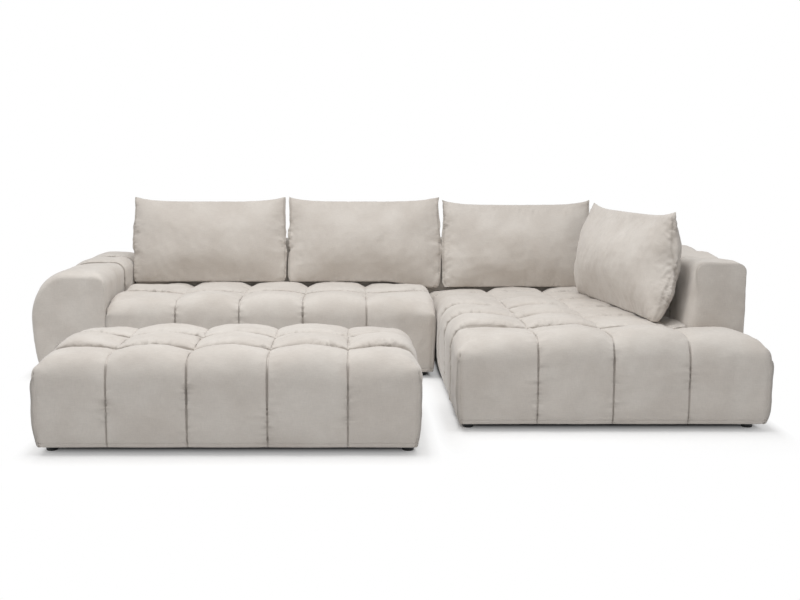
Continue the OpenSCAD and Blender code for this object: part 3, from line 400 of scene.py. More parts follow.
def finish_piece(obj, node, fill=None):
    """Gives a piece the material and the body of the frame's node that it stands for."""
    slot = ending_slot(node)
    dress(obj, slot)
    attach(obj, body_of(node))
    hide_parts(node)


def covering(node):
    return node.replace("_cover", "_upholstery")


def body_of(node):
    return next((body for body in (*CUSHIONS, "ottoman") if node.startswith(body)), "sofa")


def node_span(node):
    lo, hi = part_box(node)
    return [lo.x, hi.x, lo.y, hi.y]


# Tufted seats


def spaced(length, fine_start, fine_end):
    """Shares from 0 to 1 of a span, with close lines at the ends that are seams."""
    first = [0.0, *BESIDE] if fine_start else [0.0]
    last = [length - d for d in (0.0, *BESIDE)] if fine_end else [length]
    n = math.ceil((min(last) - max(first)) / STEP)
    middle = np.linspace(max(first), min(last), n + 1)[1:-1]
    return np.array([*first, *middle, *last[::-1]]) / length


def bays(stops, puff):
    """For each bay between two stops: its number, its grid lines' shares and their fullness."""
    for k in range(len(stops) - 1):
        first, last = k == 0, k == len(stops) - 2
        t = spaced(stops[k + 1] - stops[k], not first, not last)
        yield k, t, (puff((1 + t) / 2) if first else puff(t / 2) if last else puff(t))


class Lines:
    """The grid lines of a tufted form along one axis, from its low side to its high side."""

    def __init__(self, low, high, seams, r_low, r_high, puff, corner_reach):
        self.low, self.high, self.seams, self.r = low, high, np.array(seams), (r_low, r_high)
        self.stops = np.array([low + r_low, *seams, high - r_high])
        arc = np.linspace(TOP_ANGLE, math.pi / 2, EDGE_LINES)
        # A line is its side, its angle on the rolled edge, its share between two stops, these, its fullness
        lines = [(-1, a, 0, 0, 0, 1) for a in arc]
        for k, t, w in bays(self.stops, puff):
            lines += [(0, math.pi / 2, t[i], k, k + 1, w[i]) for i in range(1 if k == 0 else 0, len(t) - 1)]
        lines += [(1, a, 1, 0, 0, 1) for a in arc[::-1]]
        self.side, self.angle, self.share, first, last, self.weight = np.array(lines).T
        self.span = first.astype(int), last.astype(int)
        flat = lerp(self.stops[self.span[0]], self.stops[self.span[1]], self.share)
        inner = np.minimum(flat - low, high - flat)
        rolled = np.where(self.side < 0, r_low, r_high) * (1 - np.cos(self.angle))
        self.near = smooth(np.where(self.side == 0, inner, rolled) / corner_reach)

    def radius(self, end, near):
        """Radius of the low (0) or high (1) rolled edge, which tightens towards its corners."""
        r = self.r[end]
        return lerp(min(r, CORNER_R), r, near)

    def places(self, other_near, other_weight):
        """Place of each line at each line of the other axis, as a grid [line, other]."""
        low_r = self.radius(0, other_near)
        high_r = self.radius(1, other_near)
        stops = np.repeat(self.stops[:, None], other_near.size, axis=1)
        stops[0] = self.low + low_r
        stops[-1] = self.high - high_r
        flat = lerp(stops[self.span[0]], stops[self.span[1]], self.share[:, None])
        c = np.cos(self.angle)[:, None]
        dip = (1 - other_weight) * SEAM_D * c
        low = self.low + low_r * (1 - c) + dip
        high = self.high - high_r * (1 - c) - dip
        return np.where(self.side[:, None] == 0, flat, np.where(self.side[:, None] < 0, low, high))

    def drops(self, other_near):
        r = np.where(self.side[:, None] < 0, self.radius(0, other_near), self.radius(1, other_near))
        return np.where(self.side[:, None] == 0, 0, r * (1 - np.sin(self.angle))[:, None])


def crown_field(px, py, areas):
    """Height of the cells, where areas lists [x0, x1, y0, y1, crown, width of the change in y]."""
    crown = np.full(px.shape, CELL_CROWN)
    for x0, x1, y0, y1, value, width in areas:
        inside = ((px > x0) & (px < x1) & (py > y0) & (py < y1)).astype(float)
        crown = lerp(crown, value, inside * smooth((py - y0) / max(width, TINY)))
    return crown


def seam_distance(values, seams):
    return np.min(np.abs(values[:, None] - np.array(seams)[None, :]), axis=1)


def corner_ear(co, cx, cy, crossed):
    """How far a corner's pulled-out point rises at each point, and how deep its dart is under it."""
    near = np.hypot(co[:, 0] - cx, co[:, 1] - cy)
    corner_z = co[near < 0.03, 2].max()
    rise = np.exp(-(near / 0.030) ** 2 - ((co[:, 2] - corner_z) / 0.016) ** 2)
    along = np.abs((co[:, 0] - cx) * crossed - (co[:, 1] - cy))
    depth = corner_z - 0.010 - co[:, 2]
    return rise, bell(along, 0.007) * smooth(depth / 0.008) * smooth(1 - depth / 0.06) * (near < 0.05)


def tufted(node, seams_x, seams_y, radii, tucks, knot_h, pressed, seed, row_depth, fall=0.0, fall_y=0.0,
           corner=CORNER):
    """A tufted cover: cells that run unbroken from the top over the rolled edge down to the hem."""
    box = node_span(node)
    drop, reach, rear_share = corner
    lx = Lines(box[0], box[1], seams_x, radii[0], radii[1], column_puff, reach)
    ly = Lines(box[2], box[3], seams_y, radii[2], radii[3], row_puff, reach)
    row_weight = lerp(1, ly.weight, ROW_SIDE_SHARE)
    px = lx.places(ly.near, row_weight)
    py = ly.places(lx.near, lx.weight).T
    wx, wy = lx.weight[:, None], ly.weight[None, :]
    sin_x, sin_y = np.sin(lx.angle)[:, None], np.sin(ly.angle)[None, :]
    crown = crown_field(px, py, pressed)
    knot = knot_h - fall * np.maximum(0, (py - fall_y) / (box[3] - fall_y))
    drop_share = np.where(np.arange(ly.near.size) < ly.near.size / 2, 1, rear_share)
    pz = (knot + SEAM_RISE * (1 - (1 - wx) * (1 - wy))
          + crown * (1 - (1 - wx) * sin_y) * (1 - (1 - wy) * sin_x ** 2.5 * crown / CELL_CROWN)
          - lx.drops(ly.near) - ly.drops(lx.near).T
          - drop * (1 - lx.near)[:, None] * ((1 - ly.near) * drop_share)[None, :])
    nx, ny = px.shape
    points = [np.stack([px, py, pz], -1).reshape(-1, 3)]
    at = np.arange(nx * ny).reshape(nx, ny)
    quads = [np.stack([at[:-1, :-1], at[1:, :-1], at[1:, 1:], at[:-1, 1:]], -1).reshape(-1, 4)]

    rim = ([(i, 0) for i in range(nx - 1)] + [(nx - 1, j) for j in range(ny - 1)]
           + [(i, ny - 1) for i in range(nx - 1, 0, -1)] + [(0, j) for j in range(ny - 1, 0, -1)])
    ri, rj = np.array(rim).T
    top = np.stack([px[ri, rj], py[ri, rj], pz[ri, rj]], -1)
    sx = np.where(ri == 0, -1, np.where(ri == nx - 1, 1, 0))
    sy = np.where(rj == 0, -1, np.where(rj == ny - 1, 1, 0))
    rx = np.where(sx < 0, lx.radius(0, ly.near[rj]), lx.radius(1, ly.near[rj]))
    ry = np.where(sy < 0, ly.radius(0, lx.near[ri]), ly.radius(1, lx.near[ri]))
    r = np.where(sx != 0, rx, ry)
    w = np.where((sx != 0) & (sy != 0), 1, np.where(sx != 0, row_weight[rj], lx.weight[ri]))
    # The plan's corner is a quarter circle: turn is 90 degrees on a straight side and 45 at the corner
    turn = np.where(sx != 0, ly.angle[rj], lx.angle[ri])
    end_x = np.where(top[:, 0] < (box[0] + box[1]) / 2, -1, 1)
    end_y = np.where(top[:, 1] < (box[2] + box[3]) / 2, -1, 1)
    face_x = np.where(sx != 0, 1, np.cos(turn))
    face_y = np.where(sy != 0, 1, np.cos(turn))
    tuck_x = np.where(end_x < 0, tucks[0], tucks[1])
    tuck_y = np.where(end_y < 0, tucks[2], tucks[3])

    def ring(angle, down, z):
        down = np.asarray(down, float)
        c, g = math.cos(angle), smooth(np.array((TOP_ANGLE - angle) / TOP_ANGLE))
        dip = (1 - w) * SEAM_D * (1 - SEAM_FADE * down) * c
        inset = r * (1 - c) + dip + CORNER_R * (1 - np.sin(turn)) * g * ((sx == 0) | (sy == 0))
        x = np.where(sx != 0, np.where(sx < 0, box[0] + inset, box[1] - inset), top[:, 0])
        y = np.where(sy != 0, np.where(sy < 0, box[2] + inset, box[3] - inset), top[:, 1])
        draw = lerp(down ** 2, down ** 8, 0.6)
        return np.stack([x - end_x * (face_x * tuck_x * draw), y - end_y * (face_y * tuck_y * draw), z], -1)

    rings = []
    for k in range(1, 8):
        angle = TOP_ANGLE * (1 - k / 7)
        rings.append(ring(angle, 0.0, top[:, 2] - r * (math.sin(TOP_ANGLE) - math.sin(angle))))
    edge_z = rings[-1][:, 2]
    lowest = HEM_H + HEM_HEIGHTS[0] + STEP
    steps = math.ceil((edge_z.max() - lowest) / (STEP * 1.1))
    heights = [lerp(edge_z, lowest, k / steps) for k in range(1, steps + 1)]
    heights += [np.full(len(rim), HEM_H + height) for height in (*HEM_HEIGHTS, 0)]
    rings += [ring(0.0, (edge_z - z) / (edge_z - HEM_H), z) for z in heights]
    inward = np.stack([-end_x * face_x, -end_y * face_y, np.zeros(len(rim))], -1)
    rings.append(rings[-1] + inward * HEM_FOLD)
    for k, rounding in ((-2, 0.005), (-3, 0.0025), (-4, 0.001)):
        rings[k] = rings[k] + inward * rounding
    base, m = nx * ny, len(rim)
    before = at[ri, rj]
    for k, points_k in enumerate(rings):
        here = base + k * m + np.arange(m)
        quads.append(np.stack([before, np.roll(before, -1), np.roll(here, -1), here], -1))
        before = here
        points.append(points_k)
    obj = new_object(covering(node), np.concatenate(points), np.concatenate(quads))

    co, no = coordinates(obj), normals(obj)
    dx, dy = seam_distance(co[:, 0], lx.seams), seam_distance(co[:, 1], ly.seams)
    level = smooth((no[:, 2] - 0.35) / 0.4)
    over_hem = co[:, 2] - HEM_H
    pleated = smooth(0.5 + 0.8 * waves(co, 0.16, seed + 1))
    mark(obj, "pleats_over_x", pleated * np.exp(-dx / 0.015) * (1 - 0.6 * level))
    mark(obj, "pleats_over_y", pleated * np.exp(-dy / 0.020))
    full = row_depth * (crown_field(co[:, 0], co[:, 1], pressed) / CELL_CROWN) ** 2
    # Painted shade: the colour darkens in the creases along the seams
    painted_shade = np.maximum(0.42 * (1 - level) * bell(dx, 0.003),
                        lerp(0.2, 0.36 * full, level) * bell(dy, lerp(0.003, 0.011, level)))
    lift = SEAT_GATHER * gathers(co, (0.22, 1, 1), dx, seed)
    lift += SEAT_GATHER * gathers(co, (1, 0.22, 1), dy, seed + 7)
    lift += 0.0012 * waves(co, 0.15, seed + 20) + 0.0004 * waves(co, 0.045, seed + 30)
    lift *= smooth(over_hem / 0.03)
    groove = np.maximum(bell(dx, GROOVE_W) * (1 - 0.95 * level), bell(dy, GROOVE_W) * lerp(0.5, full, level))
    lift -= GROOVE_D * groove * smooth(over_hem / 0.012)
    lift -= 0.0022 * bell(over_hem - HEM_SEAM, 0.0016) * (np.abs(no[:, 2]) < 0.5)
    ears = np.zeros(len(co))
    for cx, hx, r_x in ((box[0], -1, radii[0]), (box[1], 1, radii[1])):
        for cy, hy, r_y in ((box[2], -1, radii[2]), (box[3], 1, radii[3])):
            if min(r_x, r_y) >= EDGE_R:
                rise, dart = corner_ear(co, cx, cy, hx * hy)
                ears += 0.012 * rise
                lift += 0.003 * rise - 0.010 * dart
                # Painted shade in the dart below each corner's ear
                painted_shade = np.maximum(painted_shade, 0.5 * dart)
    mark(obj, "painted_shade", painted_shade)
    co = co + no * lift[:, None]
    co[:, 2] += ears
    set_coordinates(obj, co)
    return obj


def centred_seams(a, b, width, n):
    return [(a + b) / 2 + (k - (n - 1) / 2) * width for k in range(n)]


def cushion_front():
    """Where the back cushions begin to press on the seats."""
    return back_face(REST_H) - BACK_CUSHION_IN - CUSHION_HALF_T[0] - 0.05


def deepen_seams(obj, seams_x):
    """Draws the seams in where the back cushions press the cells beside them."""
    co = coordinates(obj)
    under = smooth((co[:, 1] - cushion_front() + 0.06) / 0.08)
    under *= smooth((co[:, 2] - SEAT_KNOT_H + CHAISE_FALL + 0.02) / 0.02)
    co[:, 2] -= 0.013 * under * bell(seam_distance(co[:, 0], seams_x), 0.028)
    set_coordinates(obj, co)


def main_seat():
    node = "main_seat_cover"
    x0, x1, y0, y1 = node_span(node)
    seams_x = centred_seams(x0, x1, MAIN_COLUMN, 4)
    row = y0 + MAIN_FRONT_ROW
    obj = tufted(node, seams_x, [row], [JOINED_R, JOINED_R, EDGE_R, JOINED_R], [0, HEM_TUCK / 2, HEM_TUCK, 0],
                 SEAT_KNOT_H, [(x0, x1, row, y1, REAR_ROW_CROWN, 0),
                               (x0, x1, cushion_front(), y1, PRESSED_CROWN, 0.06)], 11, MAIN_ROW_DEPTH)
    deepen_seams(obj, seams_x)
    finish_piece(obj, node, SEAT_FILL)


def ottoman_top():
    node = "ottoman_cover"
    x0, x1, y0, y1 = node_span(node)
    obj = tufted(node, centred_seams(x0, x1, OTTOMAN_COLUMN, 4), centred_seams(y0, y1, OTTOMAN_ROW, 2),
                 [EDGE_R] * 4, [HEM_TUCK] * 4, OTTOMAN_KNOT_H,
                 [(x0, x1, (y0 + y1 + OTTOMAN_ROW) / 2, y1, OTTOMAN_REAR_CROWN, 0)], 31, OTTOMAN_ROW_DEPTH)
    finish_piece(obj, node, SEAT_FILL)
    return obj


def cut_notch(obj, x, y):
    """Removes the part beyond x and y, and closes the cut with upright walls down to the hem."""
    bm = bmesh.new()
    bm.from_mesh(obj.data)
    for co, no in (((x, 0, 0), (1, 0, 0)), ((0, y, 0), (0, 1, 0))):
        bmesh.ops.bisect_plane(bm, geom=bm.verts[:] + bm.edges[:] + bm.faces[:], dist=TINY,
                               plane_co=co, plane_no=no)
    gone = [f for f in bm.faces if f.calc_center_median().x > x and f.calc_center_median().y > y]
    bmesh.ops.delete(bm, geom=gone, context="FACES")
    near = 1e-5

    def on_cut(v):
        return ((v.co.y > y - near and abs(v.co.x - x) < near)
                or (v.co.x > x - near and abs(v.co.y - y) < near))

    cut = [e for e in bm.edges if e.is_boundary and all(on_cut(v) for v in e.verts)
           and max(v.co.z for v in e.verts) > HEM_H + 0.001]
    for v in bmesh.ops.extrude_edge_only(bm, edges=cut)["geom"]:
        if isinstance(v, bmesh.types.BMVert):
            v.co.z = HEM_H
    bmesh.ops.remove_doubles(bm, verts=bm.verts, dist=TINY)
    bmesh.ops.recalc_face_normals(bm, faces=bm.faces)
    bm.to_mesh(obj.data)
    bm.free()
    obj.data.shade_smooth()


def chaise_seat():
    node = "chaise_seat_cover"
    x0, x1, y0, y1 = node_span(node)
    seams_x = centred_seams(x0, x1, CHAISE_COLUMN, 3)
    rows = [y0 + CHAISE_FRONT_ROW + k * CHAISE_ROW for k in range(5)]
    obj = tufted(node, seams_x, rows, [EDGE_R, CHAISE_OUTER_R, EDGE_R, JOINED_R],
                 [HEM_TUCK, HEM_TUCK, HEM_TUCK, 0], SEAT_KNOT_H,
                 [(seams_x[1], x1, rows[0], y1, PRESSED_CROWN, 0), (x0, x1, rows[3], y1, PRESSED_CROWN, 0)],
                 21, CHAISE_ROW_DEPTH, CHAISE_FALL, rows[0], CHAISE_CORNER)
    deepen_seams(obj, seams_x)
    block = node_span("chaise_block_cover")
    cut_notch(obj, block[0] - CLEAR, block[2] - CLEAR)
    finish_piece(obj, node, SEAT_FILL)


# Arm, block and backs


def resampled(points):
    """The same open line through points at an even step."""
    points = np.array(points, float)
    run = np.concatenate([[0], np.cumsum(np.linalg.norm(np.diff(points, axis=0), axis=1))])
    at = np.linspace(0, run[-1], math.ceil(run[-1] / STEP) + 1)
    return np.stack([np.interp(at, run, points[:, k]) for k in (0, 1)], -1)


def arc(cx, cz, r, start, end, n=24):
    angles = np.radians(np.linspace(start, end, n))
    return [(cx + r * math.cos(a), cz + r * math.sin(a)) for a in angles]


def arm_section():
    top_x = ARM_W - ARM_INNER_R - ARM_FLAT_W
    inner = [(ARM_W - HEM_FOLD, HEM_H), (ARM_W, HEM_H)]
    inner += arc(ARM_W - ARM_INNER_R, ARM_H - ARM_INNER_R, ARM_INNER_R, 0, 90)
    outer = []
    for turn in np.radians(np.linspace(90, 0, 40)):
        outer.append((top_x * (1 - math.cos(turn) ** (2 / ARM_ROUND)),
                      ARM_BELLY_H + (ARM_H - ARM_BELLY_H) * math.sin(turn) ** (2 / ARM_ROUND)))
    for z in np.linspace(ARM_BELLY_H, HEM_H, 16)[1:]:
        outer.append((ARM_FOOT_IN * ((ARM_BELLY_H - z) / (ARM_BELLY_H - HEM_H)) ** 2, z))
    return resampled(inner + outer + [(outer[-1][0] + HEM_FOLD, HEM_H)])


def leaning_section(x0, x1, lean, low, high, r):
    """Section of a body whose face at x0 stands upright up to low and leans back from there."""
    a = math.atan2(lean, high - low)
    arc_x = x0 + r * math.cos(a) + (high - r + r * math.sin(a) - low) * math.tan(a)
    line = [(x1 - HEM_FOLD, HEM_H), (x1, HEM_H)]
    line += arc(x1 - r, high - r, r, 0, 90)
    line += arc(arc_x, high - r, r, 90, 180 - math.degrees(a))
    return resampled(line + [(x0, low), (x0, HEM_H), (x0 + HEM_FOLD, HEM_H)])


def outward_normals(section):
    along = np.gradient(section, axis=0)
    out = np.stack([along[:, 1], -along[:, 0]], -1)
    out /= np.linalg.norm(out, axis=1)[:, None]
    out[section[:, 1] <= HEM_H + TINY, 1] = 0
    return out


def bolster(node, section, seams, dip, puff, ends, seed, axis=1, gather=0.0020, edge_share=None):
    """An upholstered body lofted along an axis, with seams across it, gathers beside them and rounded ends.

    ends gives for the start and the end (roundness along the length, roundness in the section), each a
    function of the section's points. edge_share says how much painted shade darkens the start's sewn edge at
    each point.
    """
    box = node_span(node)
    start, length = box[2 * axis], box[2 * axis + 1] - box[2 * axis]
    out = outward_normals(section)
    rounds = [f(section) for f in ends]
    stops = [max(0.002, rounds[0][0].max()), *seams, length - max(0.002, rounds[1][0].max())]
    rows = []

    def row(along, inset):
        flat = section - out * inset[:, None]
        rows.append(np.stack([flat[:, 0], along, flat[:, 1]], -1))

    count = len(section)
    for k in range(END_TURNS):
        a = math.pi / 2 * k / END_TURNS
        row(rounds[0][0] * (1 - math.cos(a)), rounds[0][1] * (1 - math.sin(a)))
    for k, t, w in bays(stops, puff):
        for share, fullness in zip(t[:-1], w):
            row(np.full(count, lerp(stops[k], stops[k + 1], share)), np.full(count, dip * (1 - fullness)))
    for k in range(END_TURNS, -1, -1):
        a = math.pi / 2 * k / END_TURNS
        row(length - rounds[1][0] * (1 - math.cos(a)), rounds[1][1] * (1 - math.sin(a)))
    rows = np.array(rows)
    n_rows = len(rows)
    at = np.arange(n_rows * count).reshape(n_rows, count)
    quads = [np.stack([at[:-1, :-1], at[1:, :-1], at[1:, 1:], at[:-1, 1:]], -1).reshape(-1, 4)]
    points = [rows.reshape(-1, 3)]
    base = n_rows * count
    for outline, sign in ((0, -1), (n_rows - 1, 1)):
        edge = rows[outline]
        centre = edge.mean(0)
        before = at[outline]
        for f in np.linspace(1, 0.04, CAP_RINGS)[1:]:
            cap = centre + (edge - centre) * f
            cap[:, 1] = lerp(centre[1], edge[:, 1], f) + sign * 0.002 * (1 - f * f)
            here = base + np.arange(count)
            quads.append(np.stack([before, np.roll(before, -1), np.roll(here, -1), here], -1))
            points.append(cap)
            base += count
            before = here
        points.append(centre[None, :] + np.array([[0, sign * 0.002, 0]]))
        quads.append(np.stack([before, np.roll(before, -1), np.full(count, base), np.full(count, base)], -1))
        base += 1
    across, along, up = np.concatenate(points).T
    points = [box[0] + across, start + along, up] if axis else [start + along, box[3] + across, up]
    faces = [f if f[2] != f[3] else f[:3] for f in np.concatenate(quads).tolist()]
    obj = new_object(covering(node), np.stack(points, -1), faces)

    co, no = coordinates(obj), normals(obj)
    stretch = [1, 1, 1]
    stretch[axis] = 0.22
    distance = seam_distance(co[:, axis], [start + s for s in seams])
    lift = gather * gathers(co, stretch, distance, seed, reach=0.035)
    lift += 0.0014 * waves(co, 0.17, seed + 20) + 0.0004 * waves(co, 0.05, seed + 30)
    lift *= smooth((co[:, 2] - HEM_H) / 0.03)
    lift -= GROOVE_D * bell(distance, GROOVE_W)
    # Painted shade: the colour darkens along the seams and, as edge_share gives, along the start's sewn edge
    painted_shade = 0.34 * bell(distance, 0.004)
    if edge_share is not None:
        dark = 0.5 * edge_share(co[:, 0] - box[0], co[:, 2])
        painted_shade = np.maximum(painted_shade, dark * bell(co[:, axis] - (start + 0.004), 0.003))
    mark(obj, "painted_shade", painted_shade)
    mark(obj, ("pleats_over_x", "pleats_over_y")[axis],
         smooth(0.5 + 0.8 * waves(co, 0.16, seed + 1)) * np.exp(-distance / 0.020))
    set_coordinates(obj, co + no * lift[:, None])
    finish_piece(obj, node, BODY_FILL)


def steady(along, across):
    return lambda section: (np.full(len(section), along), np.full(len(section), across))


def arm_front(section):
    """The front of the arm turns softly into its top and outer side, and sharply into its inner side."""
    inner = smooth((section[:, 0] - (ARM_W - 0.11)) / 0.07) * smooth((ARM_H + 0.01 - section[:, 1]) / 0.06)
    return lerp(0.066, 0.006, inner), lerp(0.032, 0.008, inner)


def block_inside(x, z):
    """1 on the inner side of the block, where its front turns softly, and 0 on its top and outer side."""
    return smooth((0.12 - x) / 0.10) * smooth((BLOCK_H - 0.01 - z) / 0.15)


def block_front(section):
    inner = block_inside(section[:, 0], section[:, 1])
    return lerp(0.006, 0.060, inner), lerp(0.007, 0.042, inner)


def arm_block_and_backs():
    rear = steady(0.020, 0.012)
    bolster("main_arm_cover", arm_section(), [ARM_BAY * k for k in (2, 3)], ARM_DIP, row_puff,
            [arm_front, rear], 41)
    section = leaning_section(0, BLOCK_W, BLOCK_LEAN, SEAT_KNOT_H, BLOCK_H, BLOCK_R)
    bolster("chaise_block_cover", section, [BLOCK_BAY * k for k in (1, 2, 3, 4)], BODY_DIP,
            column_puff, [block_front, rear], 51, edge_share=lambda x, z: 1 - block_inside(x, z))
    section = leaning_section(-BACK_T, 0, BACK_T - BACK_TOP_T, BACK_SLOPE_H, BACK_H, BACK_R)
    for node, bay_count, seed in (("main_back_cover", 3, 61), ("chaise_back_cover", 2, 71)):
        x0, x1, _, _ = node_span(node)
        bolster(node, section, [(x1 - x0) * k / bay_count for k in range(1, bay_count)], BODY_DIP,
                column_puff, [steady(0.006, 0.006)] * 2, seed, 0, 0.0010)


# Loose cushions


def pillow_pattern(width, height, pitch):
    """Two flat panels sewn together along their edges: grid shares, sides and faces."""
    nu, nv = round(width / pitch), round(height / pitch)
    grid = np.meshgrid(np.linspace(-1, 1, nu + 1), np.linspace(-1, 1, nv + 1), indexing="ij")
    u, v = [g.ravel() for g in grid]
    at = np.arange((nu + 1) * (nv + 1)).reshape(nu + 1, nv + 1)
    inner = np.zeros_like(at, bool)
    inner[1:-1, 1:-1] = True
    rear = at.copy()
    rear[inner] = at.size + np.arange(inner.sum())
    keep = inner.ravel()
    u, v = np.concatenate([u, u[keep]]), np.concatenate([v, v[keep]])
    side = np.where(np.arange(len(u)) < at.size, 1, -1)
    faces = []
    for a in range(nu):
        for b in range(nv):
            faces.append((at[a, b], at[a + 1, b], at[a + 1, b + 1], at[a, b + 1]))
            faces.append((rear[a, b], rear[a, b + 1], rear[a + 1, b + 1], rear[a + 1, b]))
    return u, v, side, faces


def inflate(width, height, seed):
    """Blows a sewn pillow up with cloth simulation. Returns its shares, points and faces."""
    u, v, side, faces = pillow_pattern(width, height, SIM_PITCH)
    swell = 0.010 * (1 - u ** 4) * (1 - v ** 4) * side
    uneven = 0.0015 * waves(np.stack([u * width, v * height, side], -1), 0.06, seed) * (np.abs(swell) > 0)
    co = np.stack([u * width / 2, v * height / 2, swell + uneven], -1)
    mesh = bpy.data.meshes.new("pillow_sim")
    mesh.from_pydata(co.tolist(), [], faces)
    obj = link_object("pillow_sim", mesh)
    cloth = obj.modifiers.new("Cloth", "CLOTH")
    sewn = cloth.settings
    sewn.quality, sewn.mass = 6, 0.25
    sewn.tension_stiffness = sewn.compression_stiffness = 30
    sewn.shear_stiffness = 8
    sewn.bending_stiffness = 0.12
    sewn.tension_damping = sewn.compression_damping = sewn.shear_damping = 8
    sewn.use_pressure, sewn.uniform_pressure_force = True, 14
    sewn.effector_weights.gravity = 0
    cloth.point_cache.frame_start, cloth.point_cache.frame_end = 1, SIM_FRAMES
    for frame_number in range(1, SIM_FRAMES + 1):
        bpy.context.scene.frame_set(frame_number)
    apply_modifiers(obj)
    bpy.context.scene.frame_set(1)
    blown = coordinates(obj)
    calm = obj.modifiers.new("Calm", "SMOOTH")
    calm.factor, calm.iterations = 0.5, 18
    apply_modifiers(obj)
    middle = ((1 - u ** 10) * (1 - v ** 10))[:, None]
    co = lerp(blown, coordinates(obj), middle)
    bpy.data.objects.remove(obj)
    return u, v, co, faces


def outline_fit(u, v, co, want_x, want_y):
    """Moves the sewn edge of a pillow to its wanted outline, and what lies near it along."""
    rows, columns = np.unique(v), np.unique(u)
    have_x = [np.abs(co[(np.abs(u) == 1) & (v == row), 0]).mean() for row in rows]
    gap_x = want_x(v) - np.interp(v, rows, have_x)
    gap_y = []
    for end in (-1, 1):
        have_y = [co[(v == end) & (u == column), 1].mean() for column in columns]
        gap_y.append(want_y(u, end) - np.interp(u, columns, have_y))
    x = co[:, 0] + np.sign(u) * np.abs(u) ** 3 * gap_x
    y = co[:, 1] + np.abs(v) ** 3 * np.where(v > 0, gap_y[1], gap_y[0])
    return np.stack([x, y, co[:, 2]], -1)


def rest_fall(y):
    """How far the chaise's seat under a cushion has fallen towards the rear."""
    _, _, y0, y1 = node_span("chaise_seat_cover")
    start = y0 + CHAISE_FRONT_ROW
    return CHAISE_FALL * np.clip((y - start) / (y1 - start), 0, 1)


def freed(over):
    """Room that a cushion has behind it at a height over the place where it leaves what it leans on."""
    over = np.maximum(0, over)
    return np.minimum(over ** 2 / 0.2, over)


def back_face(z):
    y0 = node_span("main_seat_cover")[3] + CLEAR
    slope = (BACK_T - BACK_TOP_T) / (BACK_H - BACK_SLOPE_H)
    return y0 + slope * (z - BACK_SLOPE_H) + freed(z - BACK_H - FREE_ABOVE)


def block_face(z):
    x0 = node_span("chaise_block_cover")[0]
    slope = (z - SEAT_KNOT_H) / (BLOCK_H - SEAT_KNOT_H)
    return x0 + BLOCK_LEAN * slope + freed(z - BLOCK_H - FREE_ABOVE)


def rested(place, face):
    """Places held before a face that a cushion leans on, with a soft bend where it leaves the face."""
    gap = face - place
    return place + (gap - np.sqrt(gap ** 2 + REST_BEND ** 2)) / 2


def place_back(k, p):
    """A back cushion's points in the frame's axes, from its own: across, up and out of its front."""
    seat_x0 = node_span("main_seat_cover")[0]
    centre = seat_x0 + sum(BACK_CUSHION_W[:k]) + k * CUSHION_GAP + BACK_CUSHION_W[k] / 2
    base_y = back_face(REST_H) - BACK_CUSHION_IN
    base = REST_H - (rest_fall(base_y) if k == 2 else 0)
    y = base_y + p[:, 1] * math.sin(CUSHION_LEAN) - p[:, 2] * math.cos(CUSHION_LEAN)
    z = base - CUSHION_SINK + p[:, 1] * math.cos(CUSHION_LEAN) + p[:, 2] * math.sin(CUSHION_LEAN)
    z = np.maximum(base, z)
    y = rested(y, back_face(z) - CLEAR)
    x = centre + p[:, 0]
    if k == 1:
        z -= CORNER_SAG * (smooth(2.6 * p[:, 0] / BACK_CUSHION_W[1] - 0.3) * smooth(1 - p[:, 1] / 0.16))
    if k == 0:
        x = np.where(z < ARM_H + 0.03, np.maximum(seat_x0, x), x)
    return np.stack([x, y, z], -1)


def place_side(p):
    """The side cushion's points in the frame's axes, from its own."""
    block = node_span("chaise_block_cover")
    bow = (SIDE_CUSHION_BOW * (0.5 + p[:, 0] / CUSHION_W[3])
           * np.maximum(0, 1 - (2 * p[:, 1] / CUSHION_H[3] - 1) ** 2))
    lean = p[:, 1] * math.sin(SIDE_LEAN) - p[:, 2] * math.cos(SIDE_LEAN) + bow
    lx = lean * math.cos(SIDE_TURN) + p[:, 0] * math.sin(SIDE_TURN)
    ly = lean * math.sin(SIDE_TURN) - p[:, 0] * math.cos(SIDE_TURN)
    y = block[2] + SIDE_CUSHION_Y + ly
    base = REST_H - rest_fall(y)
    z = np.maximum(base, base - CUSHION_SINK + p[:, 1] * math.cos(SIDE_LEAN) + p[:, 2] * math.sin(SIDE_LEAN))
    x = rested(block[0] - SIDE_CUSHION_OFF + lx, block_face(z) - CLEAR)
    return np.stack([x, y, z], -1)


